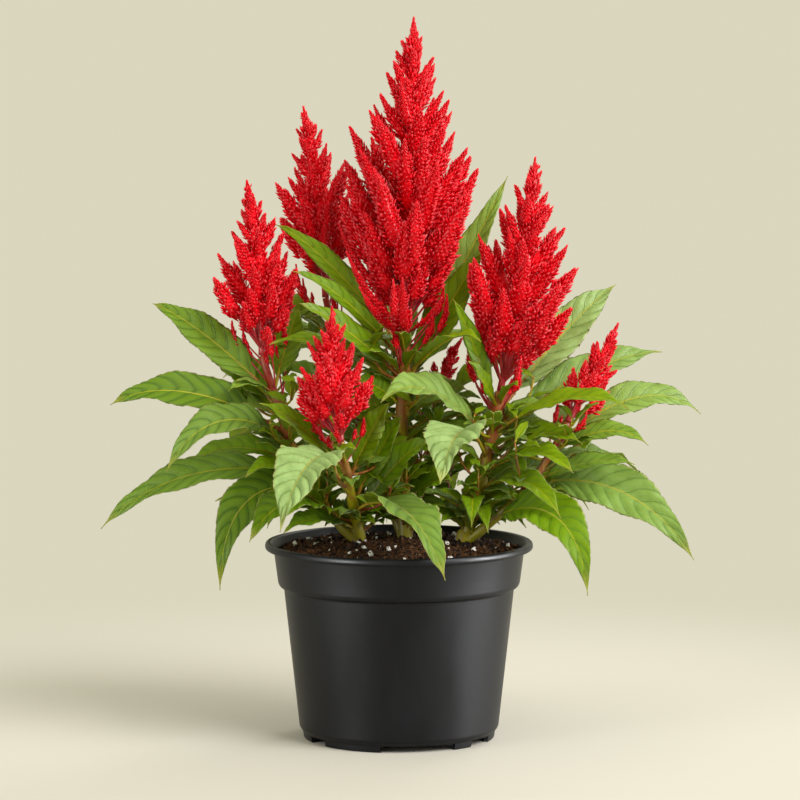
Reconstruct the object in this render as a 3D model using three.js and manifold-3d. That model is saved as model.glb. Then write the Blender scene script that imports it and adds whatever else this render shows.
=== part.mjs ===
// A plume celosia (feather cockscomb) growing in its nursery pot.
//
// Units are millimetres and +Z is up. The origin is the centre of the circle that the pot stands on.
// The plant is shown from its front, which faces -Y, with +X to the right.
//
// Pieces: the pot, the soil, three plants (each one grown piece: shoots, leafstalks and leaves)
// and the red plumes, one on the top of each shoot.

import * as THREE from "three";
import { mergeVertices } from "three/addons/utils/BufferGeometryUtils.js";
import Module from "manifold-3d";

const wasm = await Module();
wasm.setup();
const { Manifold, Mesh: SolidMesh } = wasm;

const UP = new THREE.Vector3(0, 0, 1);
const GOLDEN_ANGLE = THREE.MathUtils.degToRad(137.508);
const JOINT_GAP = 0.3; // between two pieces that touch

// ---------------------------------------------------------------- driving dimensions

const POT = {
  segments: 32,
  height: 121,
  wall: 1.6,
  lipRadius: 82.5,
  lipHeight: 4.5,
  mouthRadius: 78.6,
  bandTopRadius: 77.1,
  bandBottomRadius: 74.4,
  ledgeHeight: 93.5, // under side of the wide upper band
  bodyTopRadius: 70.9,
  bodyBottomRadius: 61.4,
  footRadius: 58.8,
  footHeight: 4.4,
  footWall: 2.2,
  gapHeight: 4,
  // Gaps cut in the standing ring: middle of each gap and its width, in degrees round from the front.
  footGaps: [[-57, 15], [12, 46], [57.5, 19]],
  drainRadius: 4.5,
  drainCircle: 44,
  drainCount: 6,
};

const SOIL = {
  segments: 22,
  rings: [1, 0.84, 0.62, 0.4, 0.18], // as shares of the radius at the pot's wall
  edgeHeight: 113.5,
  crownHeight: 118.5,
  roughness: 1.3,
};

const STEM = { sides: 5, holeDepth: 34, holeGap: 0.35 };

const LEAF = {
  stations: [0, 0.2, 0.4, 0.6, 0.8, 1], // along the blade
  smallStations: [0, 0.25, 0.5, 0.76, 1],
  smallWidth: 21, // a leaf no wider than this is a small one
  thickness: 0.8,
  stalkWidth: 2.2,
  stalkThickness: 1.9,
  stalkShare: 0.17, // of the whole leaf's length
  basePower: 0.8,
  tipPower: 1.35,
  foldAngle: 14, // each half rises from the midrib, degrees
  waveShare: 0.055, // of the leaf's width
  waveCount: 3,
};

const SPIRE = {
  sides: 5,
  rowStep: 11.5, // between rows of florets
  tuftShare: 0.36, // how far florets stand out and sink in, of the radius there
  tuftReach: 2.4, // and no further than this
  tuftRise: 0.75, // how far florets point forward, of the row step
};

// ---------------------------------------------------------------- the plants

// Each plant stands on one root shaft, and its shoots branch from it.
// route: the shoot's middle line from its foot to the plume's foot. radius: at the foot and at the top.
const PLANTS = {
  left: {
    shaft: { at: [-25, 8], radius: 4.6 },
    shoots: {
      left: {
        route: [[-26, 8, 119], [-45, 6, 141], [-63, 4, 172], [-73, 4, 200], [-84, 5, 235]],
        radius: [3.2, 2.1],
      },
      front: {
        route: [[-24, 7, 119], [-27, -4, 138], [-31, -22, 162], [-35, -42, 187]],
        radius: [3.1, 2.1],
      },
    },
  },
  centre: {
    shaft: { at: [4, 16], radius: 4.8 },
    shoots: {
      main: {
        route: [[4, 16, 119], [2, 15, 155], [2, 12, 200], [4, 10, 244]],
        radius: [4.2, 3.0],
      },
      back_left: {
        route: [[3, 17, 121], [-14, 31, 160], [-33, 48, 215], [-46, 56, 267]],
        radius: [3.2, 2.0],
      },
      back_low: {
        route: [[5, 18, 121], [14, 36, 150], [21, 50, 180], [24, 55, 208]],
        radius: [2.8, 1.9],
      },
    },
  },
  right: {
    shaft: { at: [40, 8], radius: 5.0 },
    shoots: {
      right: {
        route: [[40, 8, 119], [46, 7, 141], [53, 5, 168], [59, 4, 192], [62, 4, 213]],
        radius: [4.0, 2.8],
      },
      far_right: {
        route: [[42, 6, 120], [58, 0, 134], [78, -5, 154], [93, -6, 176], [103, -5, 195]],
        radius: [3.0, 1.9],
      },
    },
  },
};

// Each leaf grows from a shoot at the height z. width is the blade's full width, arch is how far the
// midrib bows up from the straight line (bow: to the right), and face is how many degrees the upper
// side tips to the front (turn: to the right). stalk is the stalk's share of the leaf's length.
const LEAVES = {
  left: [
    { shoot: "left", z: 208, tip: [-151, 5, 267], width: 25, arch: 6, face: 58 },
    { shoot: "left", z: 200, tip: [-120, 27, 237], width: 24, arch: 6, face: 40 },
    { shoot: "left", z: 186, tip: [-176, -10, 206], width: 28, arch: 16, face: 50 },
    { shoot: "left", z: 192, tip: [-98, 24, 214], width: 20, arch: 5, face: 40 },
    { shoot: "left", z: 178, tip: [-140, -48, 169], width: 27, arch: 25, face: 42 },
    { shoot: "left", z: 159, tip: [-183, -4, 129], width: 26, arch: 20, face: 40 },
    { shoot: "left", z: 166, tip: [-135, 30, 162], width: 22, arch: 13, face: 30 },
    { shoot: "left", z: 156, tip: [-93, -34, 164], width: 17, arch: 10, face: 35 },
    { shoot: "left", z: 149, tip: [-112, -20, 148], width: 19, arch: 5, face: 35 },
    { shoot: "left", z: 142, tip: [-108, -45, 97], width: 31, arch: 34, bow: -17, face: 48 },
    { shoot: "left", z: 135, tip: [-89, -72, 130], width: 30, arch: 17, face: 36 },
    { shoot: "left", z: 212, tip: [-62, 30, 262], width: 22, arch: 4, face: 30 },
    { shoot: "left", z: 172, tip: [-108, 70, 168], width: 30, arch: 18, face: -10 },
    { shoot: "left", z: 148, tip: [-84, 82, 118], width: 30, arch: 20, face: -10 },
    { shoot: "left", z: 128, tip: [-88, 42, 124], width: 24, arch: 14, face: 0 },
    { shoot: "front", z: 166, tip: [-84, -42, 210], width: 19, arch: 6, face: 35 },
    { shoot: "front", z: 168, tip: [-70, -95, 139], width: 42, arch: 25, face: 12, stalk: 0.24 },
    { shoot: "front", z: 160, tip: [-6, -38, 210], width: 20, arch: 4, face: 62, turn: -10 },
    { shoot: "front", z: 147, tip: [-58, 27, 180], width: 22, arch: 6, face: 40 },
    { shoot: "front", z: 144, tip: [2, -22, 201], width: 19, arch: 4, face: 65, turn: -15 },
    { shoot: "front", z: 135, tip: [20, -40, 186], width: 22, arch: 9, face: 50 },
    { shoot: "front", z: 139, tip: [27, -113, 113], width: 40, arch: 24, face: 8, turn: 12 },
    { shoot: "front", z: 127, tip: [-70, -32, 130], width: 22, arch: 8, face: 25 },
  ],
  centre: [
    { shoot: "main", z: 236, tip: [-76, 14, 315], width: 16, arch: 9, face: 55 },
    { shoot: "main", z: 229, tip: [-64, -20, 288], width: 13, arch: 9, face: 50 },
    { shoot: "main", z: 219, tip: [-60, -36, 270], width: 19, arch: 5, face: 50 },
    { shoot: "main", z: 214, tip: [-79, -14, 243], width: 18, arch: 12, face: 30 },
    { shoot: "main", z: 221, tip: [-18, -20, 240], width: 13, arch: 4, face: 30 },
    { shoot: "main", z: 218, tip: [49, -52, 248], width: 22, arch: 12, face: 18 },
    { shoot: "main", z: 224, tip: [68, 60, 343], width: 22, arch: -2, face: 60, turn: -10 },
    { shoot: "main", z: 212, tip: [53, 28, 299], width: 24, arch: 4, face: 50 },
    { shoot: "main", z: 206, tip: [-12, 92, 214], width: 28, arch: 16, face: -15 },
    { shoot: "main", z: 182, tip: [92, 54, 182], width: 29, arch: 16, face: -5 },
    { shoot: "back_left", z: 238, tip: [-101, 74, 262], width: 27, arch: 12, face: 20 },
    { shoot: "back_left", z: 222, tip: [-66, 106, 236], width: 28, arch: 16, face: -15 },
    { shoot: "back_left", z: 196, tip: [-112, 88, 214], width: 30, arch: 18, face: 0 },
    { shoot: "back_low", z: 196, tip: [86, 78, 224], width: 26, arch: 12, face: 10 },
    { shoot: "back_low", z: 172, tip: [96, 96, 160], width: 30, arch: 20, face: -5 },
    { shoot: "main", z: 224, tip: [-6, 96, 262], width: 27, arch: 14, face: -20 },
    { shoot: "main", z: 212, tip: [50, 94, 240], width: 27, arch: 14, face: -10 },
    { shoot: "back_left", z: 170, tip: [-40, 114, 166], width: 32, arch: 22, face: -20 },
    { shoot: "back_low", z: 150, tip: [32, 114, 122], width: 32, arch: 22, face: -20 },
    { shoot: "main", z: 146, tip: [-8, 112, 118], width: 30, arch: 24, face: -15 },
    { shoot: "main", z: 142, tip: [32, -22, 161], width: 24, arch: 5, face: 50 },
    { shoot: "main", z: 170, tip: [34, -14, 180], width: 22, arch: 7, face: 45 },
    { shoot: "main", z: 198, tip: [42, 14, 213], width: 21, arch: 6, face: 45 },
    { shoot: "main", z: 202, tip: [-27, 2, 220], width: 20, arch: 4, face: 45 },
    { shoot: "main", z: 152, tip: [-26, 2, 167], width: 20, arch: 5, face: 45 },
    { shoot: "main", z: 186, tip: [-48, 24, 208], width: 24, arch: 6, face: 45 },
  ],
  right: [
    { shoot: "right", z: 198, tip: [136, 60, 275], width: 30, arch: 6, face: 55 },
    { shoot: "right", z: 187, tip: [165, 56, 233], width: 26, arch: 10, face: 48 },
    { shoot: "right", z: 200, tip: [33, -20, 271], width: 13, arch: 4, face: 50 },
    { shoot: "right", z: 202, tip: [42, -24, 234], width: 15, arch: 3, face: 45 },
    { shoot: "right", z: 203, tip: [72, -22, 219], width: 13, arch: 5, face: 35 },
    { shoot: "right", z: 186, tip: [138, -50, 207], width: 20, arch: 14, face: 30 },
    { shoot: "right", z: 180, tip: [-11, -58, 212], width: 30, arch: 19, face: 40 },
    { shoot: "right", z: 171, tip: [24, -100, 168], width: 44, arch: 25, face: 10, turn: -10, stalk: 0.3 },
    { shoot: "right", z: 161, tip: [104, -62, 170], width: 24, arch: 13, face: 25 },
    { shoot: "right", z: 173, tip: [111, -30, 184], width: 20, arch: 10, face: 35 },
    { shoot: "right", z: 150, tip: [97, -56, 142], width: 22, arch: 16, face: 30 },
    { shoot: "right", z: 140, tip: [44, -36, 134], width: 16, arch: 12, face: 20 },
    { shoot: "right", z: 136, tip: [54, -32, 130], width: 14, arch: 11, face: 20 },
    { shoot: "right", z: 150, tip: [120, 66, 132], width: 30, arch: 20, face: 0 },
    { shoot: "right", z: 131, tip: [79, 24, 126], width: 18, arch: 9, face: 10 },
    { shoot: "right", z: 184, tip: [96, 26, 184], width: 24, arch: 8, face: 40 },
    { shoot: "right", z: 157, tip: [100, 22, 158], width: 24, arch: 8, face: 35 },
    { shoot: "right", z: 143, tip: [74, -16, 148], width: 16, arch: 5, face: 40 },
    { shoot: "far_right", z: 178, tip: [187, 25, 197], width: 23, arch: 20, face: 50 },
    { shoot: "far_right", z: 174, tip: [151, -28, 183], width: 16, arch: 12, face: 45 },
    { shoot: "far_right", z: 156, tip: [142, -42, 173], width: 15, arch: 7, face: 45 },
    { shoot: "far_right", z: 154, tip: [178, -42, 115], width: 34, arch: 23, face: 58 },
    { shoot: "far_right", z: 146, tip: [126, -4, 146], width: 22, arch: 8, face: 45 },
    { shoot: "far_right", z: 127, tip: [112, -80, 99], width: 34, arch: 32, bow: 13, face: 48 },
    { shoot: "far_right", z: 160, tip: [150, 44, 158], width: 26, arch: 14, face: 10 },
  ],
};

// spires: how many side spires. width: how far the widest of them reach from the middle line.
// shoulder: the share of the height, down from the tip, over which the plume widens to that.
// bow: how far the middle line bends to the right and to the back. spin: turns the spires' spiral.
const PLUMES = {
  main: { tip: [9, 5, 442], spires: 26, width: 44.5, shoulder: 0.42, bow: [1, -3], spin: 4.3 },
  back_left: { tip: [-60, 62, 387], spires: 14, width: 27.7, shoulder: 0.4, bow: [5, 3], spin: 3.2 },
  left: { tip: [-93, 0, 343], spires: 15, width: 30.5, shoulder: 0.53, bow: [6, -2], spin: 5.0 },
  right: { tip: [83, 0, 357], spires: 19, width: 39, shoulder: 0.46, bow: [5, -2], spin: 0.9 },
  front: { tip: [-40, -45, 269], spires: 11, width: 28, shoulder: 0.48, bow: [-3, -2], spin: 2.5 },
  far_right: { tip: [134, -5, 256], spires: 9, width: 18.9, shoulder: 0.59, bow: [2, 0], spin: 1.3 },
  back_low: { tip: [40, 60, 242], spires: 6, width: 10, shoulder: 0.6, bow: [-3, 3], spin: 0.3 },
};

const PLUME = {
  stalkRadius: 2.2,
  coreShare: 0.42, // radius of the thick middle, of the plume's width
  coreStart: 0.12, // of the plume's height
  coreSides: 8,
  coreRowStep: 13,
  tipTaper: 0.26, // radius at the plume's tip, of the distance to the tip
  tipGirth: 2.6, // and the most it grows to, with this share of the height added
  tipByHeight: 0.01,
  lowestEnd: 0.18, // of the plume's height, where the lowest side spire ends
  highestEnd: 0.97,
  crowding: 1.2, // above 1, more of the side spires end low
  firstRoot: 0.03, // of the plume's height, where the lowest side spires grow
  lean: 32, // of the side spires, from the plume's middle line, in degrees
  swing: 1.12, // a spire sets out at this many times its own lean, and bends up
  footWidth: 0.45, // reach of the lowest spires, of the plume's width
  footRise: 0.3, // of the plume's height, until they reach the whole width
  bareShare: 0.5, // of the lowest spires that is bare stalk
  spireStalk: 1.1,
  leastGirth: 1.4,
  girthByReach: 0.12, // a spire is thicker by this much of how far it reaches out
  girthByLength: 0.045, // and by this much of its length
};

// ---------------------------------------------------------------- shapes

const vector = (p) => new THREE.Vector3(...p);
const degrees = THREE.MathUtils.degToRad;

/** A repeatable number from 0 to 1 for item i of draw k. */
function draw(i, k) {
  const x = Math.sin(i * 12.9898 + k * 78.233) * 43758.5453;
  return x - Math.floor(x);
}

/** The solid inside a closed skin, whichever way round its triangles are given. */
function solidFrom(points, triangles) {
  let volume = 0;
  for (const [a, b, c] of triangles) {
    volume += points[a].dot(new THREE.Vector3().crossVectors(points[b], points[c]));
  }
  const faces = volume < 0 ? triangles.map(([a, b, c]) => [a, c, b]) : triangles;
  return new Manifold(new SolidMesh({
    numProp: 3,
    vertProperties: new Float32Array(points.flatMap((point) => point.toArray())),
    triVerts: new Uint32Array(faces.flat()),
  }));
}

/** The solid inside a closed geometry. */
function solidOf(geometry) {
  const bare = geometry.clone();
  bare.deleteAttribute("normal");
  bare.deleteAttribute("uv");
  const merged = mergeVertices(bare, 1e-4);
  const points = [];
  for (let i = 0; i < merged.attributes.position.count; i += 1) {
    points.push(new THREE.Vector3().fromBufferAttribute(merged.attributes.position, i));
  }
  const triangles = [];
  for (let i = 0; i < merged.index.count; i += 3) {
    const [a, b, c] = [0, 1, 2].map((corner) => merged.index.getX(i + corner));
    if (a !== b && b !== c && a !== c) triangles.push([a, b, c]);
  }
  return solidFrom(points, triangles);
}

function union(solids) {
  return solids.reduce((whole, solid) => whole.add(solid));
}

function geometryOf(solid) {
  const mesh = solid.getMesh();
  const geometry = new THREE.BufferGeometry();
  geometry.setAttribute("position", new THREE.BufferAttribute(mesh.vertProperties, 3));
  geometry.setIndex(new THREE.BufferAttribute(mesh.triVerts, 1));
  geometry.computeVertexNormals();
  return geometry;
}

/** A solid over rings of equal size, with a flat foot, and a flat top or a point. */
function loft(rings, point) {
  const sides = rings[0].length;
  const points = rings.flat();
  const triangles = [];
  for (let ring = 0; ring + 1 < rings.length; ring += 1) {
    for (let side = 0; side < sides; side += 1) {
      const a = ring * sides + side;
      const b = ring * sides + ((side + 1) % sides);
      triangles.push([a, b, b + sides], [a, b + sides, a + sides]);
    }
  }
  const last = (rings.length - 1) * sides;
  for (let side = 1; side + 1 < sides; side += 1) {
    triangles.push([0, side + 1, side]);
    if (!point) triangles.push([last, last + side, last + side + 1]);
  }
  if (point) {
    points.push(point);
    for (let side = 0; side < sides; side += 1) {
      triangles.push([last + side, last + ((side + 1) % sides), points.length - 1]);
    }
  }
  return solidFrom(points, triangles);
}

/** Two vectors square to a direction, turned the same way along a whole curve. */
function crossAxes(direction) {
  const across = new THREE.Vector3(1, 0, 0).addScaledVector(direction, -direction.x).normalize();
  return [across, new THREE.Vector3().crossVectors(direction, across)];
}

function ringAt(centre, direction, sides, radiusAt, riseAt = () => 0) {
  const [across, along] = crossAxes(direction);
  return Array.from({ length: sides }, (_, side) => {
    const angle = (side / sides) * 2 * Math.PI;
    return centre.clone()
      .addScaledVector(across, Math.cos(angle) * radiusAt(side))
      .addScaledVector(along, Math.sin(angle) * radiusAt(side))
      .addScaledVector(direction, riseAt(side));
  });
}

// ---------------------------------------------------------------- pot

/** Outline of the pot's wall, outside from the foot up and inside back down, as [radius, height]. */
function potProfile() {
  const p = POT;
  const lipFoot = p.height - p.lipHeight;
  const floor = p.footHeight + p.wall;
  return [
    [p.footRadius - p.footWall, p.footHeight],
    [p.footRadius - p.footWall, 0],
    [p.footRadius, 0],
    [p.footRadius + 0.7, p.footHeight],
    [p.bodyBottomRadius, p.footHeight + 2.2],
    [p.bodyTopRadius, p.ledgeHeight - 0.6],
    [p.bandBottomRadius - 1.2, p.ledgeHeight + 0.4],
    [p.bandBottomRadius, p.ledgeHeight + 2.4],
    [p.bandTopRadius, lipFoot],
    [p.lipRadius - 0.8, lipFoot],
    [p.lipRadius, lipFoot + 1.4],
    [p.lipRadius - 0.6, p.height - 0.8],
    [p.lipRadius - 2, p.height],
    [p.mouthRadius, p.height - 0.5],
    [p.bandTopRadius - p.wall, lipFoot],
    [p.bandBottomRadius - p.wall, p.ledgeHeight + 2.8],
    [p.bodyTopRadius - p.wall, p.ledgeHeight - 1.2],
    [p.bodyBottomRadius - p.wall, floor],
    [0, floor],
    [0, p.footHeight],
  ];
}

/** Radius of the pot's inner wall at a height between its floor and its lip. */
function innerRadius(z) {
  const inner = potProfile().slice(14, 18).reverse();
  for (let i = 0; i + 1 < inner.length; i += 1) {
    const [[r0, z0], [r1, z1]] = [inner[i], inner[i + 1]];
    if (z <= z1) return r0 + ((r1 - r0) * (z - z0)) / (z1 - z0);
  }
  return inner.at(-1)[0];
}

/** A wedge that opens a gap in the standing ring, [middle, width] in degrees from the front. */
function footGap([middle, width]) {
  const steps = 4;
  const arc = (radius) => Array.from({ length: steps + 1 }, (_, step) => {
    const angle = degrees(middle - 90 + width * (step / steps - 0.5));
    return new THREE.Vector2(radius * Math.cos(angle), radius * Math.sin(angle));
  });
  const outer = arc(POT.footRadius + 8);
  const inner = arc(POT.footRadius - POT.footWall - 4);
  const wedge = new THREE.Shape([...outer, ...inner.reverse()]);
  return new THREE.ExtrudeGeometry(wedge, { depth: POT.gapHeight + 1, bevelEnabled: false, steps: 1 })
    .translate(0, 0, -1);
}

function makePot() {
  const outline = potProfile().map(([radius, z]) => new THREE.Vector2(radius, z));
  const wall = new THREE.LatheGeometry([...outline, outline[0]], POT.segments).rotateX(Math.PI / 2);
  let solid = solidOf(wall);
  for (const [middle, width] of POT.footGaps) {
    solid = solid.subtract(solidOf(footGap([middle, width])));
    solid = solid.subtract(solidOf(footGap([middle + 180, width])));
  }
  const drain = new THREE.CylinderGeometry(POT.drainRadius, POT.drainRadius, 3 * POT.wall, 6)
    .rotateX(Math.PI / 2);
  for (let i = 0; i < POT.drainCount; i += 1) {
    const angle = degrees(30 + (360 * i) / POT.drainCount);
    const hole = drain.clone().translate(
      POT.drainCircle * Math.cos(angle), POT.drainCircle * Math.sin(angle), POT.footHeight,
    );
    solid = solid.subtract(solidOf(hole));
  }
  return solid;
}

// ---------------------------------------------------------------- soil

/** Height of the soil's rough, slightly mounded top. */
function soilHeight(share, segment, ring) {
  const mound = THREE.MathUtils.lerp(SOIL.crownHeight, SOIL.edgeHeight, share ** 2);
  return mound + SOIL.roughness * (draw(segment * 7 + ring, 3) - 0.5) * (share < 1 ? 2 : 0.6);
}

function makeSoil() {
  const floor = POT.footHeight + POT.wall + JOINT_GAP;
  const ledge = POT.ledgeHeight;
  const sideHeights = [floor, ledge - 1.6, ledge + 3.4];
  const rings = sideHeights.map((z) => {
    const radius = innerRadius(z) - 2 * JOINT_GAP;
    return ringAt(new THREE.Vector3(0, 0, z), UP, SOIL.segments, () => radius);
  });
  const edge = innerRadius(SOIL.edgeHeight) - 2 * JOINT_GAP;
  SOIL.rings.forEach((share, ring) => {
    rings.push(ringAt(new THREE.Vector3(), UP, SOIL.segments, () => edge * share,
      (segment) => soilHeight(share, segment, ring)));
  });
  let solid = loft(rings, new THREE.Vector3(0, 0, SOIL.crownHeight));
  for (const { shaft } of Object.values(PLANTS)) {
    const radius = shaft.radius + STEM.holeGap;
    const hole = new THREE.CylinderGeometry(radius, radius, 2 * STEM.holeDepth, 10)
      .rotateX(Math.PI / 2)
      .translate(...shaft.at, SOIL.crownHeight);
    solid = solid.subtract(solidOf(hole));
  }
  return solid;
}

// ---------------------------------------------------------------- shoots and leaves

function shootCurve(shoot) {
  return new THREE.CatmullRomCurve3(shoot.route.map(vector), false, "centripetal");
}

function makeShoot(shoot) {
  const curve = shootCurve(shoot);
  const steps = 2 * (shoot.route.length - 1);
  const rings = [];
  for (let step = 0; step <= steps; step += 1) {
    const share = step / steps;
    const radius = THREE.MathUtils.lerp(...shoot.radius, share);
    rings.push(ringAt(curve.getPoint(share), curve.getTangent(share), STEM.sides, () => radius));
  }
  return loft(rings);
}

function makeShaft({ at, radius }) {
  const bottom = SOIL.crownHeight - STEM.holeDepth + JOINT_GAP;
  const heights = [bottom, SOIL.crownHeight + 2, SOIL.crownHeight + 8];
  const rings = heights.map((z, i) => ringAt(
    new THREE.Vector3(...at, z), UP, 8, () => radius * (i === 2 ? 0.7 : 0.97),
  ));
  return loft(rings);
}

/** The point of a shoot's middle line at a height. */
function pointAtHeight(curve, z) {
  let [low, high] = [0, 1];
  for (let i = 0; i < 24; i += 1) {
    const middle = (low + high) / 2;
    if (curve.getPoint(middle).z < z) low = middle;
    else high = middle;
  }
  return curve.getPoint(low);
}

/** Half width of a leaf's blade as a share of its widest, at a share of the blade's length. */
function bladeOutline(share) {
  const { basePower: a, tipPower: b } = LEAF;
  const peak = a / (a + b);
  return (share ** a * (1 - share) ** b) / (peak ** a * (1 - peak) ** b);
}

function midrib(start, leaf) {
  const tip = vector(leaf.tip);
  const reach = new THREE.Vector3().subVectors(tip, start);
  const bow = new THREE.Vector3(leaf.bow ?? 0, 0, 0);
  const first = start.clone().addScaledVector(reach, 0.3).addScaledVector(UP, 1.15 * leaf.arch);
  const second = start.clone().addScaledVector(reach, 0.74).addScaledVector(UP, 1.5 * leaf.arch);
  first.addScaledVector(bow, 0.4);
  second.add(bow);
  return new THREE.CubicBezierCurve3(start, first, second, tip);
}

/** One leaf with its stalk: a thin folded blade with waved edges along an arched midrib. */
function makeLeaf(start, leaf, index) {
  const line = midrib(start, leaf);
  const tilt = degrees(leaf.face);
  const turn = degrees(leaf.turn ?? 0);
  const facing = new THREE.Vector3(
    Math.sin(turn), -Math.sin(tilt) * Math.cos(turn), Math.cos(tilt) * Math.cos(turn),
  );
  const fold = degrees(LEAF.foldAngle);
  const top = [];
  const under = [];
  const addStation = (share, halfWidth, thickness, rise) => {
    const centre = line.getPoint(share);
    const along = line.getTangent(share);
    const normal = facing.clone().addScaledVector(along, -facing.dot(along)).normalize();
    const across = new THREE.Vector3().crossVectors(along, normal);
    const at = (side, lift) => centre.clone()
      .addScaledVector(across, side * halfWidth * Math.cos(fold))
      .addScaledVector(normal, lift);
    const lifts = [halfWidth * Math.sin(fold) + rise, 0, halfWidth * Math.sin(fold) - rise];
    top.push([-1, 0, 1].map((side, k) => at(side, lifts[k] + thickness / 2)));
    under.push([-1, 0, 1].map((side, k) => at(side, lifts[k] - thickness / 2)));
  };
  addStation(0, LEAF.stalkWidth / 2, LEAF.stalkThickness, 0);
  const wave = LEAF.waveShare * leaf.width;
  const stations = leaf.width <= LEAF.smallWidth ? LEAF.smallStations : LEAF.stations;
  stations.forEach((share, station) => {
    const halfWidth = Math.max((leaf.width / 2) * bladeOutline(share),
      share < 0.5 ? LEAF.stalkWidth / 2 : 0.5);
    const onBlade = share > 0 && share < 1;
    const phase = 2 * Math.PI * (LEAF.waveCount * share + draw(index, 5));
    addStation(
      THREE.MathUtils.lerp(leaf.stalk ?? LEAF.stalkShare, 1, share),
      halfWidth,
      station === 0 ? LEAF.stalkThickness : LEAF.thickness,
      onBlade ? wave * Math.sin(phase) : 0,
    );
  });
  return bladeSolid(top, under);
}

/** A solid between two like grids of points, with each square split the same way on both. */
function bladeSolid(top, under) {
  const [rows, columns] = [top.length, top[0].length];
  const points = [...top.flat(), ...under.flat()];
  const upper = (row, column) => row * columns + column;
  const lower = (row, column) => rows * columns + upper(row, column);
  const triangles = [];
  for (let row = 0; row + 1 < rows; row += 1) {
    for (let column = 0; column + 1 < columns; column += 1) {
      const corners = [[row, column], [row + 1, column], [row + 1, column + 1], [row, column + 1]];
      const [a, b, c, d] = corners.map((corner) => upper(...corner));
      const [e, f, g, h] = corners.map((corner) => lower(...corner));
      triangles.push([a, b, c], [a, c, d], [e, g, f], [e, h, g]);
    }
    const last = columns - 1;
    triangles.push(
      [upper(row, 0), lower(row, 0), lower(row + 1, 0)],
      [upper(row, 0), lower(row + 1, 0), upper(row + 1, 0)],
      [upper(row, last), lower(row + 1, last), lower(row, last)],
      [upper(row, last), upper(row + 1, last), lower(row + 1, last)],
    );
  }
  for (let column = 0; column + 1 < columns; column += 1) {
    const end = rows - 1;
    triangles.push(
      [upper(0, column), upper(0, column + 1), lower(0, column + 1)],
      [upper(0, column), lower(0, column + 1), lower(0, column)],
      [upper(end, column), lower(end, column + 1), upper(end, column + 1)],
      [upper(end, column), lower(end, column), lower(end, column + 1)],
    );
  }
  return solidFrom(points, triangles);
}

function makePlant(name) {
  const plant = PLANTS[name];
  const solids = [makeShaft(plant.shaft)];
  const curves = {};
  for (const [shootName, shoot] of Object.entries(plant.shoots)) {
    curves[shootName] = shootCurve(shoot);
    solids.push(makeShoot(shoot));
  }
  LEAVES[name].forEach((leaf, index) => {
    solids.push(makeLeaf(pointAtHeight(curves[leaf.shoot], leaf.z), leaf, index));
  });
  return union(solids);
}

// ---------------------------------------------------------------- plumes

/** Radius of a side spire as a share of its girth: full soon after its foot, drawn to a point. */
function spireOutline(share) {
  return Math.min(1, 0.5 + share * 3) * (1 - share) ** 0.65;
}

/** Radius of a plume's middle: widest below half way, and a slim cone at the tip. */
function coreOutline(share, core, height) {
  const body = core * 3.49 * share ** 0.7 * (1 - share) ** 1.2;
  const tip = Math.min(PLUME.tipTaper * height * (1 - share), PLUME.tipGirth + PLUME.tipByHeight * height);
  return Math.max(body, tip * Math.min(1, 0.35 + share));
}

/**
 * A tapering spire with florets raised from it in staggered rows, above a bare stalk.
 * facing: the direction that its flat foot is square to.
 */
function makeSpire(line, facing, radiusAt, stalkRadius, bareShare, sides, rowStep) {
  const tufted = line.getLength() * (1 - bareShare);
  const rows = Math.max(2, Math.round(tufted / rowStep));
  const rings = [ringAt(line.getPoint(0), facing, sides, () => stalkRadius)];
  for (let row = 0; row < rows; row += 1) {
    const share = row / rows;
    const along = THREE.MathUtils.lerp(bareShare, 1, share);
    const radius = radiusAt(share);
    const tuft = Math.min(SPIRE.tuftShare * radius, SPIRE.tuftReach);
    const raised = (side) => (row * sides + side + (sides % 2 ? 0 : row)) % 2 === 1;
    rings.push(ringAt(line.getPointAt(along), line.getTangentAt(along), sides,
      (side) => radius + (raised(side) ? tuft : -tuft),
      (side) => (raised(side) ? (SPIRE.tuftRise * tufted) / rows : 0)));
  }
  return loft(rings, line.getPoint(1));
}

function plumeAxis(shoot, plume) {
  const curve = shootCurve(shoot);
  const foot = curve.getPoint(1).addScaledVector(curve.getTangent(1), JOINT_GAP);
  const tip = vector(plume.tip);
  const middle = foot.clone().lerp(tip, 0.5).add(new THREE.Vector3(...plume.bow, 0));
  return new THREE.QuadraticBezierCurve3(foot, middle, tip);
}

/** Middle line and girth of side spire i, counted up the plume, and the share of it that is bare. */
function sideSpire(axis, plume, i) {
  const { lerp } = THREE.MathUtils;
  const height = axis.v0.distanceTo(axis.v2);
  const up = (i / (plume.spires - 1)) ** PLUME.crowding;
  const top = lerp(PLUME.lowestEnd, PLUME.highestEnd, up);
  const reach = plume.width * Math.min(1, (1 - top) / plume.shoulder)
    * Math.min(1, lerp(PLUME.footWidth, 1, (top - PLUME.lowestEnd) / PLUME.footRise))
    * (0.78 + 0.3 * draw(i, plume.spin + 1));
  const root = Math.max(PLUME.firstRoot, top - reach / (Math.tan(degrees(PLUME.lean)) * height));
  const turn = i * GOLDEN_ANGLE + plume.spin;
  const along = axis.getTangentAt((root + top) / 2);
  const [across, beside] = crossAxes(along);
  const outward = across.multiplyScalar(Math.cos(turn)).addScaledVector(beside, Math.sin(turn));
  const start = axis.getPointAt(root);
  const end = axis.getPointAt(top).addScaledVector(outward, reach);
  const length = start.distanceTo(end);
  const lean = PLUME.swing * Math.atan2(reach, (top - root) * height);
  const bend = start.clone().addScaledVector(along, (Math.cos(lean) * length) / 2)
    .addScaledVector(outward, (Math.sin(lean) * length) / 2);
  return {
    line: new THREE.QuadraticBezierCurve3(start, bend, end),
    girth: PLUME.leastGirth + PLUME.girthByReach * reach + PLUME.girthByLength * length,
    bareShare: PLUME.bareShare * Math.max(0.3, 1 - 2.2 * root),
  };
}

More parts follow.
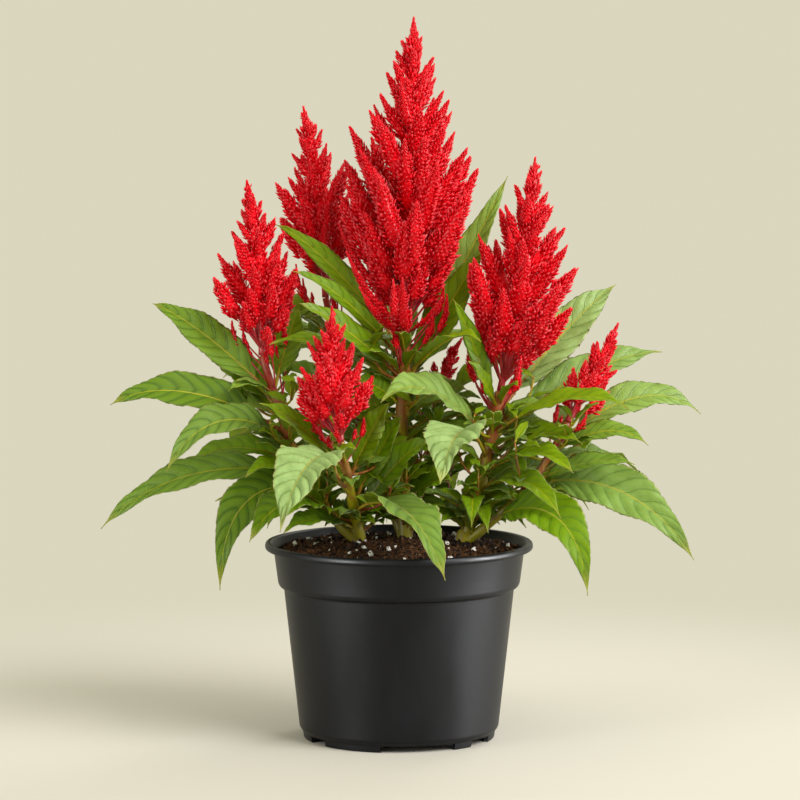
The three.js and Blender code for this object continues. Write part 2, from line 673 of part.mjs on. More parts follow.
function makePlume(shoot, plume) {
  const axis = plumeAxis(shoot, plume);
  const height = axis.v0.distanceTo(axis.v2);
  const solids = [makeSpire(
    axis, shootCurve(shoot).getTangent(1),
    (share) => coreOutline(share, PLUME.coreShare * plume.width, height),
    PLUME.stalkRadius, PLUME.coreStart, PLUME.coreSides, PLUME.coreRowStep,
  )];
  for (let i = 0; i < plume.spires; i += 1) {
    const { line, girth, bareShare } = sideSpire(axis, plume, i);
    solids.push(makeSpire(
      line, line.getTangent(0), (share) => girth * spireOutline(share),
      PLUME.spireStalk, bareShare, SPIRE.sides, SPIRE.rowStep,
    ));
  }
  return union(solids);
}

// ---------------------------------------------------------------- the object

const MATERIALS = {
  pot: { color: 0x2b2b2b, roughness: 0.55 },
  soil: { color: 0x3a2416, roughness: 0.95 },
  leaf: { color: 0x4f8a2b, roughness: 0.5 },
  plume: { color: 0xd40c1c, roughness: 0.6 },
};

const celosia = new THREE.Group();

function addPiece(name, solid, material) {
  const mesh = new THREE.Mesh(
    geometryOf(solid),
    new THREE.MeshStandardMaterial({ ...MATERIALS[material], metalness: 0 }),
  );
  mesh.name = name;
  celosia.add(mesh);
}

addPiece("pot", makePot(), "pot");
addPiece("soil", makeSoil(), "soil");
for (const [name, plant] of Object.entries(PLANTS)) {
  addPiece(`plant_${name}`, makePlant(name), "leaf");
  for (const [shootName, shoot] of Object.entries(plant.shoots)) {
    addPiece(`plume_${shootName}`, makePlume(shoot, PLUMES[shootName]), "plume");
  }
}

export default celosia;
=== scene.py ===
"""A plume celosia in its nursery pot.

A black plastic pot holds peat soil with perlite, three leafy plants and seven scarlet plumes.
Lengths are metres unless a name says otherwise, +Z is up, and the plant's front faces -Y.
Each operator builds one piece, or one group of like pieces, around the frame's nodes.
"""

import math
from typing import NamedTuple

import bmesh
import bpy
import numpy as np
from bpy.props import FloatProperty, FloatVectorProperty, IntProperty, PointerProperty
from mathutils import Matrix, Vector, noise


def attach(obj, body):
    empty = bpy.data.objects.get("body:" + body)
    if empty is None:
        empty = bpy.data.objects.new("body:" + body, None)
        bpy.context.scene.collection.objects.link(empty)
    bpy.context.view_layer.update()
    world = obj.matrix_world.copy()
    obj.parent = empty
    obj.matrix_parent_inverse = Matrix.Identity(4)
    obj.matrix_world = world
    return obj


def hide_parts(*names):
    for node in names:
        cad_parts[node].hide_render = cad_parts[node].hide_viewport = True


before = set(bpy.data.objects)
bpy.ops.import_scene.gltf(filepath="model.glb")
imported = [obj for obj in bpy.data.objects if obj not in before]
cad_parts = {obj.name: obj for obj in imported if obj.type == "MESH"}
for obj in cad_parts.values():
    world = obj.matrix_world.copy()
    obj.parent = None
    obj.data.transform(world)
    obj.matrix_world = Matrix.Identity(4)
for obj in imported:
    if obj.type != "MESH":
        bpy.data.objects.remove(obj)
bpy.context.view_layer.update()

bl_info = {
    "name": "Plume Celosia",
    "version": (1, 0, 0),
    "blender": (4, 5, 0),
    "location": "View3D > Sidebar > Celosia",
    "description": "Builds a plume celosia in its nursery pot",
    "category": "Object",
}

MM = 0.001
ROOT = "root"
GOLDEN_ANGLE = math.radians(137.508)
UP = np.array([0.0, 0.0, 1.0])


# ---------------------------------------------------------------- the plants' plan, in millimetres

class Shoot(NamedTuple):
    """A shoot's middle line from its foot to its plume, and its radius at both ends."""
    route: list
    radius: tuple


class Leaf(NamedTuple):
    """A leaf on a shoot at a height. The midrib runs to the tip, arch is how far it bows up and bow how
    far to the right. face tips the upper side to the front and turn to the right, in degrees. stalk is
    the leafstalk's share of the length. pale is how whitish the blade is: a young leaf's own colour, and
    on outer leaves a painted sheen. lime is how yellow or, below 0, how deep a green."""
    shoot: str
    height: float
    tip: tuple
    width: float
    arch: float
    face: float
    turn: float = 0
    bow: float = 0
    stalk: float = 0.17
    pale: float = 0
    lime: float = 0


class Plume(NamedTuple):
    """A plume's tip, its number of side spires and how far the widest of them reach out. shoulder is the
    share of its height, down from the tip, over which it widens to that. bow bends the middle line to the
    right and to the back, and spin turns the spires' spiral."""
    tip: tuple
    spires: int
    width: float
    shoulder: float
    bow: tuple
    spin: float


SHAFTS = {"left": ((-25, 8), 4.6), "centre": ((4, 16), 4.8), "right": ((40, 8), 5.0)}

# How red each shoot is at its foot and at its plume.
REDNESS = {
    "left": (-0.1, 0.95), "front": (-0.2, 0.6), "main": (-0.1, 0.65), "back_left": (0.1, 0.9),
    "back_low": (0.1, 0.9), "right": (-0.15, 0.7), "far_right": (-0.1, 0.65),
}

SHOOTS = {
    "left": {
        "left": Shoot(
            [(-26, 8, 119), (-45, 6, 141), (-63, 4, 172), (-73, 4, 200), (-84, 5, 235)], (3.2, 2.1),
        ),
        "front": Shoot([(-24, 7, 119), (-27, -4, 138), (-31, -22, 162), (-35, -42, 187)], (3.1, 2.1)),
    },
    "centre": {
        "main": Shoot([(4, 16, 119), (2, 15, 155), (2, 12, 200), (4, 10, 244)], (4.2, 3.0)),
        "back_left": Shoot([(3, 17, 121), (-14, 31, 160), (-33, 48, 215), (-46, 56, 267)], (3.2, 2.0)),
        "back_low": Shoot([(5, 18, 121), (14, 36, 150), (21, 50, 180), (24, 55, 208)], (2.8, 1.9)),
    },
    "right": {
        "right": Shoot([(40, 8, 119), (46, 7, 141), (53, 5, 168), (59, 4, 192), (62, 4, 213)], (4.0, 2.8)),
        "far_right": Shoot(
            [(42, 6, 120), (58, 0, 134), (78, -5, 154), (93, -6, 176), (103, -5, 195)], (3.0, 1.9),
        ),
    },
}

# On the outer leaves pale is partly a painted sheen; on young leaves it is their own whitish colour.
LEAVES = {
    "left": [
        Leaf("left", 208, (-151, 5, 267), 25, 6, 58, pale=0.1, lime=-0.4),
        Leaf("left", 200, (-120, 27, 237), 24, 6, 40),
        Leaf("left", 186, (-176, -10, 206), 28, 16, 50, pale=0.06, lime=-1),
        Leaf("left", 192, (-98, 24, 214), 20, 5, 40),
        Leaf("left", 178, (-140, -48, 169), 27, 25, 42, pale=0.2, lime=-1),
        Leaf("left", 159, (-183, -4, 129), 26, 20, 40, pale=0.15, lime=-0.5),
        Leaf("left", 166, (-135, 30, 162), 22, 13, 30),
        Leaf("left", 156, (-93, -34, 164), 17, 10, 35),
        Leaf("left", 149, (-112, -20, 148), 19, 5, 35),
        Leaf("left", 142, (-108, -45, 97), 31, 34, 48, bow=-17, lime=-1),
        Leaf("left", 135, (-89, -72, 130), 30, 17, 36, lime=-0.5),
        Leaf("left", 212, (-62, 30, 262), 22, 4, 30),
        Leaf("left", 172, (-108, 70, 168), 30, 18, -10),
        Leaf("left", 148, (-84, 82, 118), 30, 20, -10),
        Leaf("left", 128, (-88, 42, 124), 24, 14, 0),
        Leaf("front", 166, (-84, -42, 210), 19, 6, 35),
        Leaf("front", 168, (-70, -95, 139), 42, 25, 12, stalk=0.24, pale=1),
        Leaf("front", 160, (-6, -38, 210), 20, 4, 62, turn=-10),
        Leaf("front", 147, (-58, 27, 180), 22, 6, 40),
        Leaf("front", 144, (2, -22, 201), 19, 4, 65, turn=-15),
        Leaf("front", 135, (20, -40, 186), 22, 9, 50),
        Leaf("front", 139, (27, -113, 113), 40, 24, 8, turn=12, pale=0.25, lime=-0.6),
        Leaf("front", 127, (-70, -32, 130), 22, 8, 25),
    ],
    "centre": [
        Leaf("main", 236, (-76, 14, 315), 16, 9, 55),
        Leaf("main", 229, (-64, -20, 288), 13, 9, 50),
        Leaf("main", 219, (-60, -36, 270), 19, 5, 50),
        Leaf("main", 214, (-79, -14, 243), 18, 12, 30),
        Leaf("main", 221, (-18, -20, 240), 13, 4, 30),
        Leaf("main", 218, (49, -52, 248), 22, 12, 18, lime=1),
        Leaf("main", 224, (68, 60, 343), 22, -2, 60, turn=-10, pale=0.3),
        Leaf("main", 212, (53, 28, 299), 24, 4, 50),
        Leaf("main", 206, (-12, 92, 214), 28, 16, -15),
        Leaf("main", 182, (92, 54, 182), 29, 16, -5),
        Leaf("back_left", 238, (-101, 74, 262), 27, 12, 20),
        Leaf("back_left", 222, (-66, 106, 236), 28, 16, -15),
        Leaf("back_left", 196, (-112, 88, 214), 30, 18, 0),
        Leaf("back_low", 196, (86, 78, 224), 26, 12, 10),
        Leaf("back_low", 172, (96, 96, 160), 30, 20, -5),
        Leaf("main", 224, (-6, 96, 262), 27, 14, -20),
        Leaf("main", 212, (50, 94, 240), 27, 14, -10),
        Leaf("back_left", 170, (-40, 114, 166), 32, 22, -20),
        Leaf("back_low", 150, (32, 114, 122), 32, 22, -20),
        Leaf("main", 146, (-8, 112, 118), 30, 24, -15),
        Leaf("main", 142, (32, -22, 161), 24, 5, 50),
        Leaf("main", 170, (34, -14, 180), 22, 7, 45),
        Leaf("main", 198, (42, 14, 213), 21, 6, 45, pale=0.4),
        Leaf("main", 202, (-27, 2, 220), 20, 4, 45),
        Leaf("main", 152, (-26, 2, 167), 20, 5, 45),
        Leaf("main", 186, (-48, 24, 208), 24, 6, 45),
    ],
    "right": [
        Leaf("right", 198, (136, 60, 275), 30, 6, 55, pale=0.85),
        Leaf("right", 187, (165, 56, 233), 26, 10, 48, pale=0.5),
        Leaf("right", 200, (33, -20, 271), 13, 4, 50),
        Leaf("right", 202, (42, -24, 234), 15, 3, 45),
        Leaf("right", 203, (72, -22, 219), 13, 5, 35),
        Leaf("right", 186, (138, -50, 207), 20, 14, 30, lime=0.7),
        Leaf("right", 180, (-11, -58, 212), 30, 19, 40, pale=0.4),
        Leaf("right", 171, (24, -100, 168), 44, 25, 10, turn=-10, stalk=0.3, pale=1, lime=0.6),
        Leaf("right", 161, (104, -62, 170), 24, 13, 25, lime=0.5),
        Leaf("right", 173, (111, -30, 184), 20, 10, 35, lime=0.7),
        Leaf("right", 150, (97, -56, 142), 22, 16, 30, lime=0.6),
        Leaf("right", 140, (44, -36, 134), 16, 12, 20),
        Leaf("right", 136, (54, -32, 130), 14, 11, 20),
        Leaf("right", 150, (120, 66, 132), 30, 20, 0, lime=0.9),
        Leaf("right", 131, (79, 24, 126), 18, 9, 10),
        Leaf("right", 184, (96, 26, 184), 24, 8, 40, lime=0.6),
        Leaf("right", 157, (100, 22, 158), 24, 8, 35),
        Leaf("right", 143, (74, -16, 148), 16, 5, 40, lime=0.7),
        Leaf("far_right", 178, (187, 25, 197), 23, 20, 50, pale=0.4),
        Leaf("far_right", 174, (151, -28, 183), 16, 12, 45, pale=0.2),
        Leaf("far_right", 156, (142, -42, 173), 15, 7, 45, pale=0.2),
        Leaf("far_right", 154, (178, -42, 115), 34, 23, 58, pale=0.4, lime=-0.3),
        Leaf("far_right", 146, (126, -4, 146), 22, 8, 45, lime=0.7),
        Leaf("far_right", 127, (112, -80, 99), 34, 32, 48, bow=13, lime=-0.2),
        Leaf("far_right", 160, (150, 44, 158), 26, 14, 10),
    ],
}

PLUMES = {
    "main": Plume((9, 5, 442), 26, 44.5, 0.42, (1, -3), 4.3),
    "back_left": Plume((-60, 62, 387), 14, 27.7, 0.4, (5, 3), 3.2),
    "left": Plume((-93, 0, 343), 15, 30.5, 0.53, (6, -2), 5.0),
    "right": Plume((83, 0, 357), 19, 39, 0.46, (5, -2), 0.9),
    "front": Plume((-40, -45, 269), 11, 28, 0.48, (-3, -2), 2.5),
    "far_right": Plume((134, -5, 256), 9, 18.9, 0.59, (2, 0), 1.3),
    "back_low": Plume((40, 60, 242), 6, 10, 0.6, (-3, 3), 0.3),
}

# Spires that stand apart from the others: root as a share of the plume's way up, tip and girth.
OWN_SPIRES = {
    "main": [
        (0.0, (2, -40, 286), 6.2), (0.03, (-32, -10, 300), 4.6), (0.01, (-24, -22, 279), 3.6),
        (0.02, (26, -12, 272), 2.8), (0.08, (-37, 6, 316), 5.0), (0.06, (-22, 8, 302), 5.0),
    ],
}


# ---------------------------------------------------------------- settings

def length(name, description, default):
    return FloatProperty(name=name, description=description, default=default, min=0.0, unit="LENGTH")


def colour(name, description, default):
    return FloatVectorProperty(
        name=name, description=description, default=default, size=3, min=0.0, max=1.0, subtype="COLOR",
    )


def share(name, description, default):
    return FloatProperty(name=name, description=description, default=default, min=0.0, max=1.0,
                         subtype="FACTOR")


def angle(name, description, default):
    return FloatProperty(name=name, description=description, default=math.radians(default),
                         unit="ROTATION")


class CelosiaPotSettings(bpy.types.PropertyGroup):
    """The nursery pot."""
    sides: IntProperty(name="Sides", description="Sides of the turned wall", default=192, min=24)
    colour: colour("Plastic", "Colour of the moulded plastic", (0.0016, 0.0018, 0.0030))
    roughness: share("Roughness", "How matt the plastic is", 0.40)


class CelosiaSoilSettings(bpy.types.PropertyGroup):
    """The peat soil and what lies in it."""
    # The soil turns toward this colour where its bump sinks, and the crumbs take it as their darkest brown.
    dark: colour("Wet peat", "Colour in the soil's hollows", (0.006, 0.003, 0.0015))
    light: colour("Bark", "Colour of the driest crumbs", (0.110, 0.046, 0.016))
    crumbs: FloatProperty(name="Crumbs", description="Crumbs on a square metre", default=140000.0)
    grains: FloatProperty(name="Perlite", description="Perlite grains on a square metre", default=3400.0)
    seed: IntProperty(name="Seed", description="Changes how the crumbs fall", default=4)


class CelosiaLeafSettings(bpy.types.PropertyGroup):
    """The stems, the leafstalks and the leaves."""
    row_step: length("Row step", "Length of the squares along a blade", 2.1 * MM)
    column_step: length("Column step", "Width of the squares across a blade", 2.1 * MM)
    thickness: length("Thickness", "Thickness of a blade", 0.5 * MM)
    veins: IntProperty(name="Veins", description="Side veins on each half of a blade", default=9, min=1)
    quilt: share("Quilting", "Rise of the blade between its veins, of the leaf's width", 0.03)
    teeth: share("Teeth", "Depth of the scalloped edge, of the half width", 0.06)
    green: colour("Green", "Colour of a grown leaf", (0.182, 0.348, 0.001))
    # lime and young are also the colours of the painted highlight between the side veins; young is also the
    # painted sheen of outer leaves.
    lime: colour("Lime", "Colour of a yellow-green leaf", (0.310, 0.460, 0.001))
    deep: colour("Deep green", "Colour of the darkest leaves", (0.085, 0.185, 0.004))
    young: colour("Young green", "Colour of a young leaf", (0.435, 0.610, 0.220))
    under: colour("Under side", "Colour of a leaf's under side", (0.300, 0.430, 0.012))
    vein: colour("Vein", "Colour of the midrib and the leaf's edge", (0.480, 0.480, 0.150))
    stem: colour("Stem", "Colour of the green stems", (0.390, 0.350, 0.006))
    blush: colour("Blush", "Colour of the red parts of the stems", (0.300, 0.030, 0.014))


class CelosiaPlumeSettings(bpy.types.PropertyGroup):
    """The plumes."""
    gap: length("Gap", "Distance from one tooth to the next, low on a thick spire", 2.2 * MM)
    longest: length("Longest tooth", "Length of a tooth low on a thick spire", 4.8 * MM)
    shortest: length("Shortest tooth", "Length of a tooth at a spire's tip", 1.9 * MM)
    thick: length("Thick", "Girth from which on a spire carries its longest teeth", 4.5 * MM)
    flare: angle("Flare", "How far the lowest teeth stand away from the spire", 34)
    hug: angle("Hug", "How far the teeth at the tip stand away", 8)
    fillers: FloatProperty(name="Fillers", description="Thinner spires between the others, for each of them",
                           default=2.1, min=0.0)
    clump: share("Clumps", "How unevenly the teeth crowd", 0.3)
    seed: IntProperty(name="Seed", description="Changes how the teeth vary", default=7)
    red: colour("Scarlet", "Colour of the florets", (0.990, 0.005, 0.022))
    # The tips' colour: partly their own, partly a painted highlight.
    tip_and_highlight: colour("Tips", "Colour of the florets' tips", (0.990, 0.180, 0.200))
    # Painted shade: the florets' feet and the stalks under the florets darken to this colour.
    depth: colour("Depth", "Colour deep in the plume", (0.880, 0.003, 0.014))
    stalk: colour("Stalk", "Colour of the plume's stalks", (0.420, 0.012, 0.035))


class CelosiaStageSettings(bpy.types.PropertyGroup):
    """The floor, the lights and the camera."""
    paper: colour("Paper", "Colour of the background", (0.706, 0.675, 0.517))
    floor: colour("Floor", "Colour of the lit floor", (0.522, 0.497, 0.430))
    lens: FloatProperty(name="Lens", description="Focal length in millimetres", default=162.3)
    distance: length("Distance", "From the plant's axis to the camera", 2.2)
    height: length("Height", "Height of the camera", 0.418)
    pitch: angle("Pitch", "How far the camera looks down", 5.45)
    key: FloatProperty(name="Key light", description="Power of the main light in watts", default=405.0)
    fill: FloatProperty(name="Fill light", description="Power of the filling light in watts", default=13.0)
    sheen: FloatProperty(name="Sheen", description="Power of the lights that only gloss the pot, in watts",
                         default=48.0)
    sky: FloatProperty(name="Surround", description="Strength of the light from all round", default=0.72)


SETTINGS = {
    "celosia_pot": CelosiaPotSettings,
    "celosia_soil": CelosiaSoilSettings,
    "celosia_leaf": CelosiaLeafSettings,
    "celosia_plume": CelosiaPlumeSettings,
    "celosia_stage": CelosiaStageSettings,
}


# ---------------------------------------------------------------- lines and numbers

def draw(i, k):
    """A repeatable number from 0 to 1 for item i of draw k."""
    x = math.sin(i * 12.9898 + k * 78.233) * 43758.5453
    return x - math.floor(x)


def lerp(a, b, t):
    return a + (b - a) * t


def smooth(x, low, high):
    """0 below low, 1 above high and a soft step between."""
    t = np.clip((np.asarray(x, float) - low) / (high - low), 0.0, 1.0)
    return t * t * (3.0 - 2.0 * t)


def unit(v):
    return v / np.linalg.norm(v, axis=-1, keepdims=True)


def bezier(controls, t):
    """Points of a Bezier curve, one row for each share t of its parameter."""
    t = np.asarray(t, float).reshape(-1, 1)
    layer = [np.asarray(c, float) for c in controls]
    while len(layer) > 1:
        layer = [a + (b - a) * t for a, b in zip(layer, layer[1:])]
    return layer[0]


def shoot_line(route, t):
    """Points of the centripetal Catmull-Rom curve through a shoot's route, in metres."""
    knots = np.asarray(route, float) * MM
    ends = [2 * knots[0] - knots[1], *knots, 2 * knots[-1] - knots[-2]]
    rows = []
    for at in np.asarray(t, float).ravel() * (len(knots) - 1):
        k = min(int(at), len(knots) - 2)
        p0, p1, p2, p3 = ends[k:k + 4]
        d0, d1, d2 = (np.sqrt(np.linalg.norm(b - a)) for a, b in ((p0, p1), (p1, p2), (p2, p3)))
        m1 = ((p1 - p0) / d0 - (p2 - p0) / (d0 + d1) + (p2 - p1) / d1) * d1
        m2 = ((p2 - p1) / d1 - (p3 - p1) / (d1 + d2) + (p3 - p2) / d2) * d1
        w = at - k
        square, cube = 3 * (p2 - p1) - 2 * m1 - m2, 2 * (p1 - p2) + m1 + m2
        rows.append(p1 + m1 * w + square * w ** 2 + cube * w ** 3)
    return np.array(rows)


def tangents(points):
    return unit(np.gradient(points, axis=0))


def evened(points, count):
    """The same line as count points at even distances, and its length."""
    steps = np.linalg.norm(np.diff(points, axis=0), axis=1)
    reach = np.concatenate([[0.0], np.cumsum(steps)])
    wanted = np.linspace(0, reach[-1], count)
    return np.stack([np.interp(wanted, reach, points[:, axis]) for axis in range(3)], 1), reach[-1]


def cross_axes(direction):
    """Two unit vectors square to each direction, turned the same way along a whole line."""
    across = unit(np.array([1.0, 0.0, 0.0]) - direction * direction[..., :1])
    return across, np.cross(direction, across)


# ---------------------------------------------------------------- meshes

class Skin:
    """Gathers the vertices, faces and per-vertex values of one piece."""

    def __init__(self, *values):
        self.points, self.faces = [], []
        self.values = {name: [] for name in values}
        self.count = 0

    def add(self, points, faces, **values):
        points = np.asarray(points, float).reshape(-1, 3)
        self.points.append(points)
        self.faces += [tuple(int(i) + self.count for i in face) for face in faces]
        for name, rows in self.values.items():
            rows.append(np.broadcast_to(np.asarray(values[name], float).ravel(), len(points)))
        self.count += len(points)

    def piece(self, name, finish):
        """The finished object. Vertex values become attributes of the mesh."""
        mesh = bpy.data.meshes.new(name)
        mesh.from_pydata(np.concatenate(self.points).tolist(), [], self.faces)
        for key, rows in self.values.items():
            layer = mesh.attributes.new(key, "FLOAT", "POINT")
            layer.data.foreach_set("value", np.concatenate(rows).astype(np.float32))
        mesh.polygons.foreach_set("use_smooth", [True] * len(mesh.polygons))
        mesh.materials.append(finish)
        return place(name, mesh)


def place(name, data):
    """A new object in the scene, at the origin."""
    found = bpy.data.objects.new(name, data)
    bpy.context.scene.collection.objects.link(found)
    return found


def placed(name, made):
    """The object of a finished bmesh, which is freed."""
    mesh = bpy.data.meshes.new(name)
    made.to_mesh(mesh)
    made.free()
    return place(name, mesh)


def seat(piece, slot, *nodes):
    """Ties a finished piece to the frame: the body it rides on and the nodes it stands for, which it hides.
    slot, the finish's name, is not used.
    """
    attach(piece, ROOT)
    if nodes:
        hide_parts(*nodes)
    return piece


def tube_faces(rings, sides):
    """Faces of a closed tube over rings of vertices, with a flat face at both ends."""
    ring, side = np.meshgrid(np.arange(rings - 1), np.arange(sides), indexing="ij")
    a = (ring * sides + side).ravel()
    b = (ring * sides + (side + 1) % sides).ravel()
    last = (rings - 1) * sides
    walls = np.stack([a, b, b + sides, a + sides], 1).tolist()
    return walls + [list(range(sides))[::-1], list(range(last, last + sides))]


def tube_points(line, radius, sides, ridges=0.0):
    """Rings of a tube round a line, with ribs along it that rise by a share of the radius."""
    across, along = cross_axes(tangents(line))
    turn = np.arange(sides) * 2 * math.pi / sides
    ribs = 1 + ridges * np.cos(turn * sides / 2)
    radius = np.broadcast_to(radius, len(line))[:, None, None]
    wheel = np.cos(turn)[None, :, None] * across[:, None] + np.sin(turn)[None, :, None] * along[:, None]
    return line[:, None] + wheel * radius * ribs[None, :, None]


def add_tube(skin, line, radius, sides, ridges=0.0, **values):
    """A closed tube round a line. Each value is one number, or one for each point of the line."""
    rings = {name: np.repeat(np.broadcast_to(row, len(line)), sides) for name, row in values.items()}
    skin.add(tube_points(line, radius, sides, ridges), tube_faces(len(line), sides), **rings)


# ---------------------------------------------------------------- materials

LIGHT_THROUGH = 0.34  # share of the light on a leaf or a floret that shines through it


def node(tree, kind, inputs=None, **settings):
    """A new node with its settings, and its inputs linked to sockets or set to values."""
    made = tree.nodes.new(kind)
    for name, value in settings.items():
        setattr(made, name, value)
    for key, value in (inputs or {}).items():
        if isinstance(value, bpy.types.NodeSocket):
            tree.links.new(value, made.inputs[key])
        else:
            made.inputs[key].default_value = value
    return made


def maths(tree, operation, a, b=0.0, c=0.0):
    return node(tree, "ShaderNodeMath", {0: a, 1: b, 2: c}, operation=operation).outputs[0]


def scaled(tree, vector, factor):
    return node(tree, "ShaderNodeVectorMath", {0: vector, "Scale": factor}, operation="SCALE").outputs[0]


def chanced(tree, low, high, seed):
    """A random number for each point or instance."""
    inputs = {2: low, 3: high, "Seed": seed}
    return node(tree, "FunctionNodeRandomValue", inputs, data_type="FLOAT").outputs[1]


def ranged(tree, value, low, high, to_low=0.0, to_high=1.0):
    """value from low to high, moved to the range from to_low to to_high, and held there."""
    inputs = {"Value": value, 1: low, 2: high, 3: to_low, 4: to_high}
    return node(tree, "ShaderNodeMapRange", inputs, interpolation_type="SMOOTHSTEP").outputs[0]


def spread(tree, value, to_low, to_high, low=0.0, high=1.0):
    """Like ranged, but in even steps, for geometry nodes."""
    return node(tree, "ShaderNodeMapRange", {0: value, 1: low, 2: high, 3: to_low, 4: to_high}).outputs[0]


def mixed(tree, factor, a, b, blend="MIX"):
    """Colour a, turned to colour b by a factor. Each is a socket, or red, green and blue."""
    a, b = (c if isinstance(c, bpy.types.NodeSocket) else (*c, 1.0) for c in (a, b))
    made = node(tree, "ShaderNodeMix", {0: factor, 6: a, 7: b}, data_type="RGBA", blend_type=blend)
    return made.outputs[2]


def attribute(tree, name):
    return node(tree, "ShaderNodeAttribute", attribute_name=name).outputs["Fac"]


def speckle(tree, scale, detail=3.0, stretch=(1.0, 1.0, 1.0), roughness=0.5):
    """Noise on the piece's own coordinates. scale is how many lumps fit in a metre."""
    coordinates = node(tree, "ShaderNodeTexCoord").outputs["Object"]
    stretched = node(tree, "ShaderNodeMapping", {"Vector": coordinates, "Scale": stretch}).outputs[0]
    inputs = {"Vector": stretched, "Scale": scale, "Detail": detail, "Roughness": roughness}
    return node(tree, "ShaderNodeTexNoise", inputs).outputs["Fac"]


def network(tree, scale):
    """Distance to the nearest line of an uneven net. scale is how many meshes fit in a metre."""
    coordinates = node(tree, "ShaderNodeTexCoord").outputs["Object"]
    return node(tree, "ShaderNodeTexVoronoi", {"Vector": coordinates, "Scale": scale},
                feature="DISTANCE_TO_EDGE").outputs["Distance"]


def material(name, **constants):
    """An empty material: its tree and its shader, whose plain inputs are set here."""
    made = bpy.data.materials.new(name)
    made.use_nodes = True
    tree = made.node_tree
    shader = tree.nodes["Principled BSDF"]
    for key, value in constants.items():
        shader.inputs[key.replace("_", " ")].default_value = value
    return made, tree, shader


def bumped(tree, shader, height, distance, strength=1.0):
    """Gives the shader the fine relief of a height."""
    bump = node(tree, "ShaderNodeBump", {"Height": height, "Distance": distance, "Strength": strength})
    tree.links.new(bump.outputs[0], shader.inputs["Normal"])


def blended(tree, shader, factor, other):
    """Sends the surface the shader, turned to another one by a factor."""
    blend = node(tree, "ShaderNodeMixShader", {0: factor, 1: shader.outputs[0], 2: other.outputs[0]})
    tree.links.new(blend.outputs[0], tree.nodes["Material Output"].inputs["Surface"])


def glowing(tree, shader, tint):
    """Lets tinted light through a thin piece."""
    blended(tree, shader, LIGHT_THROUGH, node(tree, "ShaderNodeBsdfTranslucent", {"Color": tint}))


def plastic_material(settings):
    """Black moulded plastic with a fine grain, faint turning marks and a little dust."""
    made, tree, shader = material("pot plastic", IOR=1.49, Specular_IOR_Level=0.2,
                                  Specular_Tint=(0.96, 0.98, 1.0, 1.0))
    grain = speckle(tree, 2600.0, 2.0)
    clouds = speckle(tree, 26.0, 4.0, (1.0, 1.0, 0.35))
    rings = speckle(tree, 60.0, 3.0, (0.15, 0.15, 9.0))
    dusty = mixed(tree, ranged(tree, clouds, 0.35, 0.75, 0.0, 0.35), settings.colour,
                  [c * 1.9 for c in settings.colour])
    tree.links.new(dusty, shader.inputs["Base Color"])
    rough = ranged(tree, clouds, 0.3, 0.7, settings.roughness - 0.05, settings.roughness + 0.07)
    tree.links.new(rough, shader.inputs["Roughness"])
    height = maths(tree, "ADD", maths(tree, "MULTIPLY", grain, 0.6), maths(tree, "MULTIPLY", rings, 0.8))
    bumped(tree, shader, height, 0.00008, 0.55)
    return made


def soil_material(settings):
    """Peat: dark hollows, brown crumbs and fibres."""
    made, tree, shader = material("peat soil", Roughness=0.92, IOR=1.4, Specular_IOR_Level=0.1)
    lumps = speckle(tree, 420.0, 5.0, roughness=0.65)
    fibres = speckle(tree, 900.0, 3.0, (1.0, 0.25, 1.0))
    brown = mixed(tree, ranged(tree, lumps, 0.38, 0.68), settings.dark, settings.light)
    tinted = mixed(tree, ranged(tree, fibres, 0.55, 0.7, 0.0, 0.5), brown, (0.16, 0.075, 0.03))
    tree.links.new(tinted, shader.inputs["Base Color"])
    bumped(tree, shader, lumps, 0.0009)
    return made


def crumb_material(settings):
    """Bark crumbs, each with its own brown."""
    made, tree, shader = material("bark crumbs", Roughness=0.86, IOR=1.4, Specular_IOR_Level=0.15)
    tone = attribute(tree, "tone")
    brown = mixed(tree, ranged(tree, tone, 0.15, 0.95), settings.dark, settings.light)
    straw = mixed(tree, ranged(tree, tone, 0.93, 0.99, 0.0, 0.8), brown, (0.22, 0.12, 0.05))
    veined = mixed(tree, ranged(tree, speckle(tree, 1500.0, 4.0), 0.35, 0.7, 0.0, 0.6), straw,
                   settings.dark)
    tree.links.new(veined, shader.inputs["Base Color"])
    bumped(tree, shader, speckle(tree, 1900.0, 4.0), 0.0004)
    return made


def perlite_material():
    """White puffed perlite, a little soiled."""
    made, tree, shader = material("perlite", Roughness=0.8)
    soiled = mixed(tree, ranged(tree, speckle(tree, 700.0, 4.0), 0.5, 0.75, 0.0, 0.6),
                   (0.78, 0.76, 0.70), (0.36, 0.28, 0.19))
    tree.links.new(soiled, shader.inputs["Base Color"])
    bumped(tree, shader, speckle(tree, 1800.0, 4.0), 0.0004)
    return made


